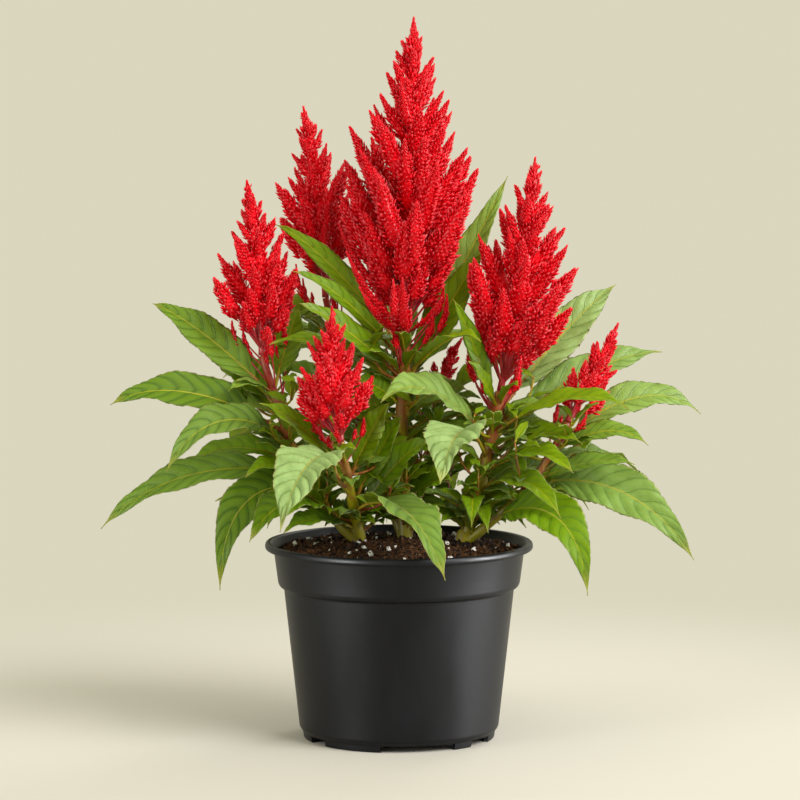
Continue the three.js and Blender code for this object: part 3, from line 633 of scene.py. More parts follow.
def leaf_material(settings):
    """Leaf blades: green above, with a light midrib and edge, painted shade in the grooved side veins, a
    painted highlight on the bulges between them and, on outer leaves, a painted sheen; yellow-green below.
    """
    made, tree, shader = material("leaf blade", IOR=1.42, Specular_IOR_Level=0.28)
    blade = node(tree, "ShaderNodeUVMap", uv_map="blade").outputs[0]
    split = node(tree, "ShaderNodeSeparateXYZ", {0: blade})
    along = split.outputs[0]
    across = maths(tree, "ABSOLUTE", maths(tree, "MULTIPLY_ADD", split.outputs[1], 2.0, -1.0))
    phase = attribute(tree, "vein_phase")
    tone = attribute(tree, "tone")
    pale = attribute(tree, "pale")
    under = attribute(tree, "under")
    # Darker greens: of the mottling, of the net of small veins, and of the painted shade in the side veins'
    # grooves.
    cloud, strand, groove_shade_colour = ([c * dark for c in settings.green] for dark in (0.55, 0.6, 0.45))
    net = network(tree, 480.0)
    mottle = speckle(tree, 130.0, 4.0)
    fine = speckle(tree, 1400.0, 3.0)
    # Distance to the nearest side vein: 0 on it and 1 midway between two.
    wave = maths(tree, "ABSOLUTE", maths(tree, "SINE", maths(tree, "MULTIPLY", phase, math.pi)))
    groove = ranged(tree, wave, 0.0, 0.22, 1.0, 0.0)
    middle = maths(tree, "MULTIPLY", ranged(tree, across, 0.008, 0.04, 1.0, 0.0),
                   ranged(tree, along, 0.1, 0.95, 1.0, 0.35))
    edge = ranged(tree, across, 0.93, 0.975)
    tip = ranged(tree, along, 0.86, 1.0)

    deep = mixed(tree, ranged(tree, tone, -1.0, 0.0), settings.deep, settings.green)
    limed = mixed(tree, tone, deep, settings.lime)
    # Whitened toward the young colour: a young leaf's own colour, and on outer leaves a painted sheen.
    whitened = mixed(tree, pale, limed, settings.young)
    clouded = mixed(tree, ranged(tree, mottle, 0.3, 0.72, 0.0, 0.45), whitened, cloud)
    meshed = mixed(tree, ranged(tree, net, 0.0, 0.12, 0.16, 0.0), clouded, strand)
    # Painted highlight on the bulges between the side veins, and painted shade in the side veins' grooves.
    highlight_green = mixed(tree, pale, settings.lime, settings.young)
    pillow_highlight = mixed(tree, ranged(tree, wave, 0.1, 0.9, 0.0, 0.25), meshed, highlight_green)
    groove_shade = maths(tree, "MULTIPLY", groove, ranged(tree, pale, 0.0, 1.0, 0.18, 0.36))
    veined = mixed(tree, groove_shade, pillow_highlight, groove_shade_colour)
    ribbed = mixed(tree, maths(tree, "MULTIPLY", middle, 0.85), veined, settings.vein)
    edged = mixed(tree, maths(tree, "MULTIPLY", edge, 0.85), ribbed, settings.vein)
    upper = mixed(tree, maths(tree, "MULTIPLY", tip, 0.7), edged, (0.50, 0.42, 0.06))
    below = mixed(tree, maths(tree, "MULTIPLY", groove, 0.5), settings.under, settings.vein)
    shown = mixed(tree, under, upper, below)
    tree.links.new(shown, shader.inputs["Base Color"])
    tree.links.new(ranged(tree, fine, 0.3, 0.7, 0.46, 0.6), shader.inputs["Roughness"])
    relief = maths(tree, "ADD", maths(tree, "MULTIPLY", groove, -0.6), maths(tree, "MULTIPLY", fine, 0.3))
    relief = maths(tree, "ADD", relief, ranged(tree, net, 0.0, 0.2, -0.15, 0.0))
    bumped(tree, shader, relief, 0.0006, 0.8)
    glowing(tree, shader, mixed(tree, 1.0, shown, (1.0, 1.0, 0.25), "MULTIPLY"))
    return made


def stem_material(settings):
    """Ribbed stems and leafstalks: yellow-green that flushes red, in streaks along them."""
    made, tree, shader = material("stem", Roughness=0.55, IOR=1.42, Specular_IOR_Level=0.25)
    flush = attribute(tree, "flush")
    streaks = speckle(tree, 420.0, 4.0, (1.0, 1.0, 0.12))
    amount = maths(tree, "ADD", flush, maths(tree, "MULTIPLY", maths(tree, "SUBTRACT", streaks, 0.5), 1.5))
    warm = mixed(tree, ranged(tree, amount, 0.1, 0.6), settings.stem, (0.36, 0.15, 0.03))
    red = mixed(tree, ranged(tree, amount, 0.45, 1.0), warm, settings.blush)
    tree.links.new(red, shader.inputs["Base Color"])
    bumped(tree, shader, streaks, 0.0003, 0.6)
    return made


def floret_material(settings):
    """Dry glossy florets: scarlet, darkened toward each tooth's foot as painted shade, and paler at the tip,
    partly their own colour and partly a painted highlight.
    """
    made, tree, shader = material("floret", Roughness=0.45, IOR=1.4, Specular_IOR_Level=0.12)
    reach = attribute(tree, "reach")
    tone = attribute(tree, "tone")
    # Painted shade: each tooth darkens toward its foot, where it stands among the others.
    body = mixed(tree, ranged(tree, reach, 0.1, 0.55), settings.depth, settings.red)
    varied = mixed(tree, ranged(tree, tone, 0.0, 1.0, 0.0, 0.45), body, (0.80, 0.002, 0.014))
    # Painted highlight: the tips turn paler, partly their own colour.
    tipped = mixed(tree, maths(tree, "MULTIPLY", ranged(tree, reach, 0.45, 1.0),
                               ranged(tree, tone, 0.25, 0.9, 0.25, 1.0)), varied, settings.tip_and_highlight)
    tree.links.new(tipped, shader.inputs["Base Color"])
    glowing(tree, shader, tipped)
    return made


def stalk_material(settings):
    """The plume's stalks: crimson, darkened to the plume's deep red as painted shade where florets cover
    them.
    """
    made, tree, shader = material("plume stalk", Roughness=0.5, IOR=1.42, Specular_IOR_Level=0.3)
    covered = attribute(tree, "covered")
    streaks = speckle(tree, 500.0, 3.0, (1.0, 1.0, 0.15))
    bare = mixed(tree, ranged(tree, streaks, 0.35, 0.7, 0.0, 0.6), settings.stalk,
                 (0.52, 0.09, 0.05))
    # Painted shade: the stalk darkens to the plume's deep red where florets cover it.
    tree.links.new(mixed(tree, covered, bare, settings.depth), shader.inputs["Base Color"])
    bumped(tree, shader, streaks, 0.0003, 0.6)
    return made


# ---------------------------------------------------------------- pot

POT_HEIGHT, POT_WALL = 121 * MM, 1.6 * MM
LIP_RADIUS, LIP_HEIGHT, MOUTH_RADIUS = 82.5 * MM, 4.5 * MM, 78.6 * MM
BAND_TOP, BAND_BOTTOM, LEDGE_HEIGHT = 77.1 * MM, 74.4 * MM, 93.5 * MM
BODY_TOP, BODY_BOTTOM = 70.9 * MM, 61.4 * MM
FOOT_RADIUS, FOOT_HEIGHT, FOOT_WALL = 58.8 * MM, 4.4 * MM, 2.2 * MM
FOOT_GAPS = ((-57, 15), (12, 46), (57.5, 19))  # middle and width, in degrees from the front
GAP_HEIGHT = 4 * MM
DRAIN_RADIUS, DRAIN_CIRCLE, DRAIN_COUNT = 4.5 * MM, 44 * MM, 6


def rounded(corners, steps=4):
    """An outline with its corners turned to arcs. Each corner is (radius, height, rounding)."""
    outline = []
    for i, (r, z, round_by) in enumerate(corners):
        here = np.array([r, z])
        if not round_by:
            outline.append(here)
            continue
        sides = [np.array(corners[(i + k) % len(corners)][:2]) - here for k in (-1, 1)]
        cut = [here + side * min(round_by / np.linalg.norm(side), 0.49) for side in sides]
        outline += list(bezier([cut[0], here, cut[1]], np.linspace(0, 1, steps + 1)))
    return np.array(outline)


def pot_outline():
    """The pot's wall, up the outside and down the inside."""
    lip_foot = POT_HEIGHT - LIP_HEIGHT
    floor = FOOT_HEIGHT + POT_WALL
    return rounded([
        (FOOT_RADIUS - FOOT_WALL, FOOT_HEIGHT, 0),
        (FOOT_RADIUS - FOOT_WALL, 0, 0.4 * MM),
        (FOOT_RADIUS, 0, 0.7 * MM),
        (FOOT_RADIUS + 0.7 * MM, FOOT_HEIGHT, 1.0 * MM),
        (BODY_BOTTOM, FOOT_HEIGHT + 2.2 * MM, 1.4 * MM),
        (BODY_TOP, LEDGE_HEIGHT - 0.6 * MM, 1.0 * MM),
        (BAND_BOTTOM - 1.0 * MM, LEDGE_HEIGHT + 0.3 * MM, 1.2 * MM),
        (BAND_BOTTOM, LEDGE_HEIGHT + 2.4 * MM, 1.2 * MM),
        (BAND_TOP, lip_foot, 1.0 * MM),
        (LIP_RADIUS - 0.8 * MM, lip_foot, 1.0 * MM),
        (LIP_RADIUS, lip_foot + 1.4 * MM, 1.2 * MM),
        (LIP_RADIUS - 0.5 * MM, POT_HEIGHT, 1.8 * MM),
        (MOUTH_RADIUS, POT_HEIGHT - 0.2 * MM, 1.2 * MM),
        (BAND_TOP - POT_WALL, lip_foot - 2 * MM, 2.0 * MM),
        (BAND_BOTTOM - POT_WALL, LEDGE_HEIGHT + 2.8 * MM, 1.5 * MM),
        (BODY_TOP - POT_WALL, LEDGE_HEIGHT - 1.2 * MM, 1.5 * MM),
        (BODY_BOTTOM - POT_WALL, floor, 1.5 * MM),
        (0, floor, 0),
        (0, FOOT_HEIGHT, 0),
    ])


def turned(name, outline, sides):
    """A solid turned round the Z axis from an outline that starts and ends on it, or closes on itself."""
    made = bmesh.new()
    loop = [made.verts.new((r, 0, z)) for r, z in outline]
    edges = [made.edges.new((a, b)) for a, b in zip(loop, loop[1:] + loop[:1])]
    bmesh.ops.spin(made, geom=loop + edges, axis=(0, 0, 1), cent=(0, 0, 0), steps=sides,
                   angle=2 * math.pi, use_merge=True)
    bmesh.ops.remove_doubles(made, verts=made.verts, dist=1e-6)
    bmesh.ops.dissolve_degenerate(made, edges=made.edges, dist=1e-7)
    bmesh.ops.recalc_face_normals(made, faces=made.faces)
    return placed(name, made)


def cutters():
    """Wedges that open the gaps in the standing ring, and rods that drill the drain holes."""
    made = bmesh.new()
    steps = 8
    for middle, width in FOOT_GAPS:
        for start in (middle, middle + 180):
            turn = np.radians(start - 90 + width * (np.arange(steps + 1) / steps - 0.5))
            arcs = [(FOOT_RADIUS - FOOT_WALL - 4 * MM, turn[::-1]), (FOOT_RADIUS + 8 * MM, turn)]
            rim = [(r * math.cos(a), r * math.sin(a)) for r, arc in arcs for a in arc]
            low = [made.verts.new((x, y, -MM)) for x, y in rim]
            high = [made.verts.new((x, y, GAP_HEIGHT)) for x, y in rim]
            made.faces.new(low)
            made.faces.new(high)
            for i in range(len(rim)):
                j = (i + 1) % len(rim)
                made.faces.new((low[i], low[j], high[j], high[i]))
    for i in range(DRAIN_COUNT):
        turn = math.radians(30 + 360 * i / DRAIN_COUNT)
        centre = (DRAIN_CIRCLE * math.cos(turn), DRAIN_CIRCLE * math.sin(turn), FOOT_HEIGHT)
        bmesh.ops.create_cone(made, cap_ends=True, segments=24, radius1=DRAIN_RADIUS, radius2=DRAIN_RADIUS,
                              depth=3 * POT_WALL, matrix=Matrix.Translation(centre))
    bmesh.ops.recalc_face_normals(made, faces=made.faces)
    return placed("cutters", made)


def applied(piece):
    """The piece's mesh with its modifiers worked in, which are then removed."""
    graph = bpy.context.evaluated_depsgraph_get()
    mesh = bpy.data.meshes.new_from_object(piece.evaluated_get(graph), depsgraph=graph)
    piece.modifiers.clear()
    piece.data = mesh
    return piece


class CELOSIA_OT_pot(bpy.types.Operator):
    """Build the black nursery pot with its rolled lip, its band and its notched foot"""
    bl_idname = "celosia.pot"
    bl_label = "Pot"

    def execute(self, context):
        settings = context.scene.celosia_pot
        pot = turned("nursery_pot", pot_outline(), settings.sides)
        tool = cutters()
        cut = pot.modifiers.new("gaps", "BOOLEAN")
        cut.operation, cut.solver, cut.object = "DIFFERENCE", "EXACT", tool
        applied(pot)
        bpy.data.objects.remove(tool)
        pot.data.polygons.foreach_set("use_smooth", [True] * len(pot.data.polygons))
        pot.data.set_sharp_from_angle(angle=math.radians(38))
        pot.data.materials.clear()
        pot.data.materials.append(plastic_material(settings))
        seat(pot, "pot_plastic", "pot")
        return {"FINISHED"}


# ---------------------------------------------------------------- soil

SOIL_CROWN, SOIL_EDGE = 121 * MM, 116 * MM
SOIL_SEGMENTS, SOIL_RINGS = 160, 46
SOIL_GAP = 0.6 * MM


def inner_radius(z):
    """Radius of the pot's inner wall at a height above its floor."""
    heights = [FOOT_HEIGHT + POT_WALL, LEDGE_HEIGHT - 1.2 * MM, LEDGE_HEIGHT + 2.8 * MM,
               POT_HEIGHT - LIP_HEIGHT]
    radii = [BODY_BOTTOM, BODY_TOP, BAND_BOTTOM, BAND_TOP]
    return np.interp(z, heights, radii) - POT_WALL


def soil_height(x, y):
    """Height of the mounded, crumbly top."""
    share_out = math.hypot(x, y) / (inner_radius(SOIL_EDGE) - SOIL_GAP)
    rough = 0.0
    for size, rise in ((16 * MM, 1.5 * MM), (5 * MM, 1.1 * MM), (2 * MM, 0.5 * MM)):
        rough += rise * noise.noise(Vector((x / size, y / size, 3.0)))
    return lerp(SOIL_CROWN, SOIL_EDGE, share_out ** 2) + rough


def soil_body():
    """The block of soil, as rings from the floor's middle up the wall and in over the top."""
    floor = FOOT_HEIGHT + POT_WALL + 0.4 * MM
    walls = [floor, LEDGE_HEIGHT - 1.6 * MM, LEDGE_HEIGHT + 3.4 * MM, 105 * MM]
    turn = np.arange(SOIL_SEGMENTS) * 2 * math.pi / SOIL_SEGMENTS
    wheel = np.stack([np.cos(turn), np.sin(turn)], 1)
    rings = [np.column_stack([wheel * (inner_radius(z) - SOIL_GAP), np.full(SOIL_SEGMENTS, z)])
             for z in walls]
    edge = inner_radius(SOIL_EDGE) - SOIL_GAP
    for out in np.linspace(1, 0.02, SOIL_RINGS):
        flat = wheel * edge * out
        rings.append(np.column_stack([flat, [soil_height(x, y) for x, y in flat]]))
    faces = tube_faces(len(rings), SOIL_SEGMENTS)
    skin = Skin("top")
    skin.add(np.concatenate(rings), faces,
             top=np.repeat([0.0] * (len(walls) + 2) + [1.0] * (SOIL_RINGS - 2), SOIL_SEGMENTS))
    return skin


def lump(name, subdivisions, stretch, roughness, seed):
    """An irregular grain about one unit across, to be strewn."""
    made = bmesh.new()
    bmesh.ops.create_icosphere(made, subdivisions=subdivisions, radius=0.5)
    for vertex in made.verts:
        bulge = 1 + roughness * noise.noise(vertex.co * 2.6 + Vector((seed, 0, 0)))
        vertex.co = Vector(a * b * bulge for a, b in zip(vertex.co, stretch))
    return placed(name, made)


def geometry_tree(name, result, **inputs):
    """A new tree of geometry nodes, and its inputs, each given by name with its kind of socket."""
    tree = bpy.data.node_groups.new(name, "GeometryNodeTree")
    for key, kind in inputs.items():
        tree.interface.new_socket(key, in_out="INPUT", socket_type="NodeSocket" + kind)
    tree.interface.new_socket(result, in_out="OUTPUT", socket_type="NodeSocketGeometry")
    return tree, node(tree, "NodeGroupInput").outputs


def named(tree, name, kind="FLOAT"):
    """An attribute of the points, in geometry nodes."""
    return node(tree, "GeometryNodeInputNamedAttribute", {"Name": name}, data_type=kind).outputs[0]


def end_tree(tree, instances, finish):
    """Makes the instances real, gives them their material and ends the tree."""
    solid = node(tree, "GeometryNodeRealizeInstances", {0: instances})
    finished = node(tree, "GeometryNodeSetMaterial", {"Geometry": solid.outputs[0], "Material": finish})
    node(tree, "NodeGroupOutput", {0: finished.outputs[0]})


def strewing_tree():
    """Geometry nodes that strew grains over the faces whose attribute "top" is set."""
    tree, given = geometry_tree(
        "strewn grains", "Grains", Ground="Geometry", Grain="Object", Density="Float", Smallest="Float",
        Largest="Float", Sink="Float", Seed="Int", Material="Material",
    )
    on_top = node(tree, "FunctionNodeCompare", {0: named(tree, "top"), 1: 0.9}, data_type="FLOAT",
                  operation="GREATER_THAN").outputs[0]
    strewn = node(tree, "GeometryNodeDistributePointsOnFaces",
                  {"Mesh": given["Ground"], "Selection": on_top, "Density": given["Density"],
                   "Seed": given["Seed"]})
    grain = node(tree, "GeometryNodeObjectInfo", {"Object": given["Grain"], "As Instance": True})
    spun = node(tree, "FunctionNodeRandomValue",
                {0: (0, 0, 0), 1: (math.tau, math.tau, math.tau), "Seed": given["Seed"]},
                data_type="FLOAT_VECTOR").outputs[0]
    # Small grains are much more common than large ones.
    shrunk = maths(tree, "POWER", chanced(tree, 0.0, 1.0, given["Seed"]), 2.4)
    size = spread(tree, shrunk, given["Smallest"], given["Largest"])
    sunk = node(tree, "ShaderNodeCombineXYZ", {2: maths(tree, "MULTIPLY", given["Sink"], size)})
    lowered = node(tree, "GeometryNodeSetPosition",
                   {"Geometry": strewn.outputs["Points"], "Offset": sunk.outputs[0]})
    stood = node(tree, "GeometryNodeInstanceOnPoints",
                 {"Points": lowered.outputs[0], "Instance": grain.outputs["Geometry"], "Rotation": spun,
                  "Scale": size})
    toned = node(tree, "GeometryNodeStoreNamedAttribute",
                 {"Geometry": stood.outputs[0], "Name": "tone", "Value": chanced(tree, 0.0, 1.0, 77)},
                 data_type="FLOAT", domain="INSTANCE")
    end_tree(tree, toned.outputs[0], given["Material"])
    return tree


def grown(name, mesh, tree, inputs, smooth_faces):
    """The plain piece that a tree of geometry nodes makes from a mesh."""
    host = place(name + "_host", mesh)
    modifier = host.modifiers.new("grow", "NODES")
    modifier.node_group = tree
    identifiers = {item.name: item.identifier for item in tree.interface.items_tree
                   if item.item_type == "SOCKET" and item.in_out == "INPUT"}
    for key, value in inputs.items():
        modifier[identifiers[key]] = value
    graph = bpy.context.evaluated_depsgraph_get()
    made = bpy.data.meshes.new_from_object(host.evaluated_get(graph), depsgraph=graph)
    made.name = name
    made.polygons.foreach_set("use_smooth", [smooth_faces] * len(made.polygons))
    bpy.data.objects.remove(host)
    if not made.polygons:
        raise RuntimeError(f"geometry nodes made nothing for {name}")
    return place(name, made)


class CELOSIA_OT_soil(bpy.types.Operator):
    """Build the soil, and strew bark crumbs and perlite over it"""
    bl_idname = "celosia.soil"
    bl_label = "Soil"

    def execute(self, context):
        settings = context.scene.celosia_soil
        bed = seat(soil_body().piece("soil_bed", soil_material(settings)), "potting_soil", "soil")
        tree = strewing_tree()
        kinds = [
            ("bark_crumbs", lump("crumb", 1, (1.0, 0.55, 0.4), 0.9, 1), settings.crumbs, 0.9, 4.2, 0.05,
             crumb_material(settings)),
            ("perlite_grains", lump("grain", 2, (1.0, 0.85, 0.75), 0.8, 5), settings.grains, 1.2, 4.0, 0.1,
             perlite_material()),
        ]
        for name, grain, density, smallest, largest, sink, finish in kinds:
            inputs = {"Grain": grain, "Density": density, "Smallest": smallest * MM, "Largest": largest * MM,
                      "Sink": sink, "Seed": settings.seed, "Material": finish}
            seat(grown(name, bed.data.copy(), tree, inputs, name != "bark_crumbs"), "potting_soil")
            bpy.data.objects.remove(grain)
        return {"FINISHED"}


# ---------------------------------------------------------------- stems and leaves

FOLD = math.radians(14)  # how far each half of a blade is folded up
BASE_POWER, TIP_POWER = 0.8, 1.35  # how a blade's outline opens at its foot, and closes at its tip
WAVE_SHARE, WAVE_COUNT = 0.055, 3  # rise of the waves at a blade's edge, of its width, and their number
MOST_LIME = 0.45  # the most lime that chance gives a leaf whose plan gives it none
AXIL_STEP = 6  # axils nearer to each other than this, in millimetres, share one pair of small leaves
BASAL_LEAVES = 14  # low leaves round the foot of each plant
FIRST_SMALL, FIRST_SIDE = 100, 300  # from which the small leaves and those of side shoots are numbered
SIDE_SHOOT_STEP = 8 * MM
SIDE_SHOOT_POINTS, SIDE_SHOOT_LEAVES = 9, (3, 5, 7, 8)  # points of its line, and those that carry a leaf
FINENESS = (15, 20, 36, 42), (0.55, 1.0, 1.0, 1.5)  # widths of leaves, and how much finer they are made
STALK_RADIUS = 1.1 * MM
VEIN_SWEEP = 0.2  # how far a side vein runs forward on its way out, of the blade's length


def blade_outline(u):
    """Half width at a share of the blade's length, of its widest."""
    peak = BASE_POWER / (BASE_POWER + TIP_POWER)
    return u ** BASE_POWER * (1 - u) ** TIP_POWER / (peak ** BASE_POWER * (1 - peak) ** TIP_POWER)


def midrib(leaf, start):
    """Control points of the leaf's middle line, in metres."""
    tip = np.array(leaf.tip, float) * MM
    reach = tip - start
    bow = np.array([leaf.bow * MM, 0, 0])
    first = start + 0.3 * reach + 1.15 * leaf.arch * MM * UP + 0.4 * bow
    second = start + 0.74 * reach + 1.5 * leaf.arch * MM * UP + bow
    return [start, first, second, tip]


def leaf_axes(leaf, line):
    """Unit vectors along the midrib, across the blade and out of its upper side, for each point."""
    tilt, turn = math.radians(leaf.face), math.radians(leaf.turn)
    facing = np.array([math.sin(turn), -math.sin(tilt) * math.cos(turn), math.cos(tilt) * math.cos(turn)])
    along = tangents(line)
    normal = unit(facing - along * (along @ facing)[:, None])
    return along, np.cross(along, normal), normal


def blade_faces(rows, columns):
    """Faces between an upper grid and an under grid that share their side edges."""
    upper = np.arange(rows * columns).reshape(rows, columns)
    inner = rows * columns + np.arange(rows * (columns - 2)).reshape(rows, columns - 2)
    lower = np.column_stack([upper[:, 0], inner, upper[:, -1]])
    faces = []
    for grid, flip in ((upper, False), (lower, True)):
        quads = np.stack([grid[:-1, :-1], grid[1:, :-1], grid[1:, 1:], grid[:-1, 1:]], -1).reshape(-1, 4)
        faces += (quads[:, ::-1] if flip else quads).tolist()
    faces.append([*upper[0], *lower[0, 1:-1][::-1]])
    faces.append([*upper[-1][::-1], *lower[-1, 1:-1]])
    return faces


def blade_lift(leaf, index, settings, along, v, half, phase):
    """How far each point of a blade stands out of its plane: the blade is folded along its midrib, waved
    at its edge and quilted between its sunken veins."""
    width, out, side = leaf.width * MM, np.abs(v), np.sign(v)
    swell = smooth(along, 0.0, 0.12) * (1 - smooth(along, 0.9, 1.0))
    ripple = WAVE_SHARE * width * np.sin(2 * math.pi * (WAVE_COUNT * along + draw(index, 5)))
    lift = half * math.sin(FOLD) * (1.5 * out - 0.5 * out ** 2)
    lift = lift - side * ripple * out ** 1.6 * swell
    curl = np.sin(math.pi * phase[:, [-1]] * 2 + index)
    lift = lift + 0.45 * settings.teeth * half * curl * out ** 4 * swell
    pillow = np.abs(np.sin(math.pi * phase)) ** 0.8
    quilting = settings.quilt * (1 + 1.3 * leaf.pale) * width * (pillow - 0.55)
    quilting = quilting * smooth(out, 0.03, 0.3) * (1 - 0.55 * out ** 3)
    lift = lift + quilting * swell * np.minimum(1, half / (0.25 * width))
    return lift - 0.35 * MM * (1 - smooth(out, 0.0, 0.12)) * swell


def add_blade(skin, uvs, leaf, start, index, settings):
    """One blade with a scalloped edge. u and along run from its foot to its tip, and v from side to side."""
    finer = np.interp(leaf.width, *FINENESS)
    reach = np.linalg.norm(np.array(leaf.tip) * MM - start)
    rows = 8 + int(finer * reach / settings.row_step)
    columns = 5 + 2 * int(finer * leaf.width * MM / settings.column_step / 2)
    u = np.linspace(0, 1, rows)
    v = np.linspace(-1, 1, columns)[None, :]
    v = np.sign(v) * np.abs(v) ** 0.85  # a little closer together toward the edge
    along, out = u[:, None], np.abs(v)
    line = bezier(midrib(leaf, start), lerp(leaf.stalk, 1, u))
    _, across, normal = leaf_axes(leaf, line)
    count = settings.veins + (1 if leaf.width > 30 else 0)
    side_shift = 0.25 * np.sign(v) + draw(index, 8)
    phase = count * (along - VEIN_SWEEP * out ** 1.5 * (1 - 0.35 * along)) + side_shift
    notch = 1 - np.abs(np.sin(math.pi * phase[:, [-1]] * 2))
    scallop = 1 - settings.teeth * notch * smooth(out, 0.6, 1.0)
    half = np.maximum(leaf.width * MM / 2 * blade_outline(u), 0.25 * MM)
    half = np.where(u < 0.3, np.maximum(half, STALK_RADIUS), half)[:, None]
    centre = line[:, None] + across[:, None] * (v * half * scallop * math.cos(FOLD))[..., None]
    lift = blade_lift(leaf, index, settings, along, v, half, phase)
    thick = settings.thickness / 2 * (1 - out ** 6)
    upper = centre + normal[:, None] * (lift + thick)[..., None]
    lower = (centre + normal[:, None] * (lift - thick)[..., None])[:, 1:-1]

    def both(grid):
        """Values of the upper grid's points, and again of the under grid's."""
        grid = np.broadcast_to(grid, (rows, columns))
        return np.concatenate([grid.ravel(), grid[:, 1:-1].ravel()])

    uvs.append(np.stack([both(along), both(v / 2 + 0.5)], 1))
    under = np.concatenate([np.zeros(rows * columns), np.ones(rows * (columns - 2))])
    skin.add(
        np.concatenate([upper.reshape(-1, 3), lower.reshape(-1, 3)]), blade_faces(rows, columns),
        vein_phase=both(phase), tone=leaf.lime or MOST_LIME * draw(index, 11), pale=leaf.pale, under=under,
    )


def add_leafstalk(skin, leaf, start, index):
    """The leafstalk, which runs on as a rib under the blade."""
    steps, sides = (16, 6) if leaf.width > 15 else (7, 4)
    t = np.linspace(0, 0.93, steps)
    line = bezier(midrib(leaf, start), t)
    _, _, normal = leaf_axes(leaf, line)
    on_blade = np.clip((t - leaf.stalk) / (1 - leaf.stalk), 0, 1)
    radius = STALK_RADIUS * min(1, 0.3 + leaf.width / 22)
    radius = radius * (1 + 0.35 * (1 - smooth(t, 0, 0.06))) * (1 - 0.82 * on_blade ** 0.7)
    line = line - normal * (radius * 0.75 * smooth(on_blade, 0, 0.1))[:, None]
    flush = lerp(0.05 + 0.65 * draw(index, 21), -0.25, smooth(t, 0.1, 0.6))
    add_tube(skin, line, radius, sides, flush=flush)


def add_shoot(skin, shoot, heights, redness):
    """A ribbed shoot that swells where its leaves grow."""
    count = 46
    line, _ = evened(shoot_line(shoot.route, np.linspace(0, 1, 120)), count)
    t = np.linspace(0, 1, count)
    radius = lerp(shoot.radius[0], shoot.radius[1], t) * MM
    for height in heights:
        radius = radius * (1 + 0.16 * np.exp(-((line[:, 2] - height * MM) / (2.2 * MM)) ** 2))
    flush = lerp(redness[0], redness[1], smooth(t, 0.05, 0.9))
    add_tube(skin, line, radius, 16, 0.05, flush=flush)


def add_shaft(skin, at, radius):
    """A plant's root shaft, from deep in its hole up to where the shoots part."""
    heights = np.array([85.0, 100, 112, 116, 118, 120, 122, 124, 126, 127]) * MM
    line = np.column_stack([np.full(len(heights), at[0] * MM), np.full(len(heights), at[1] * MM), heights])
    taper = np.array([0.96, 0.96, 0.98, 1.0, 1.06, 1.02, 0.97, 0.9, 0.8, 0.55])
    add_tube(skin, line, radius * MM * taper, 20, 0.04, flush=0.12)


def add_uvs(mesh, uvs):
    """Gives the mesh the UV map "blade" from one row for each vertex."""
    layer = mesh.uv_layers.new(name="blade")
    corners = np.zeros(len(mesh.loops), np.int32)
    mesh.loops.foreach_get("vertex_index", corners)
    layer.data.foreach_set("uv", np.concatenate(uvs)[corners].astype(np.float32).ravel())


def add_leaf(skins, leaf, start, index, settings):
    """One leaf: its blade and its leafstalk."""
    blades, stems, uvs = skins
    add_blade(blades, uvs, leaf, start, index, settings)
    add_leafstalk(stems, leaf, start, index)


def point_at(line, z):
    """The point of a rising line at a height."""
    return np.array([np.interp(z, line[:, 2], line[:, k]) for k in range(3)])


def small_leaves(leaves, lines):
    """The small leaves: a pair in the axils wherever they stand apart, and some low round the foot."""
    found, axils = [], []
    for index, leaf in enumerate(leaves):
        if any(leaf.shoot == shoot and abs(leaf.height - height) < AXIL_STEP for shoot, height in axils):
            continue
        axils.append((leaf.shoot, leaf.height))
        line = lines[leaf.shoot]
        for side in (-1, 1):
            key = 2 * index + (side > 0)
            height = leaf.height + 4 * side
            start = point_at(line, height * MM) / MM
            way = np.array(leaf.tip, float) - start
            turn = math.radians(side * lerp(28, 75, draw(key, 41)))
            reach = lerp(22, 44, draw(key, 42))
            flat = unit(way[:2])
            heading = np.array([flat[0] * math.cos(turn) - flat[1] * math.sin(turn),
                                flat[0] * math.sin(turn) + flat[1] * math.cos(turn)])
            tip = (*(start[:2] + heading * reach), start[2] + reach * lerp(0.05, 0.6, draw(key, 43)))
            found.append(Leaf(leaf.shoot, height, tip, reach * 0.4, reach * 0.16, lerp(5, 40, draw(key, 44)),
                              pale=0.15 + 0.3 * draw(key, 45)))
    name = next(iter(lines))
    for i in range(BASAL_LEAVES):
        height = lerp(122, 132, draw(i, 51))
        turn, reach = i * GOLDEN_ANGLE + len(leaves), lerp(22, 40, draw(i, 52))
        way = unit(np.array([math.cos(turn), math.sin(turn), 0.35]))
        tip = point_at(lines[name], height * MM) / MM + reach * way
        found.append(Leaf(name, height, tuple(tip), reach * 0.42, 6, lerp(10, 50, draw(i, 53)), lime=0.4))
    return found


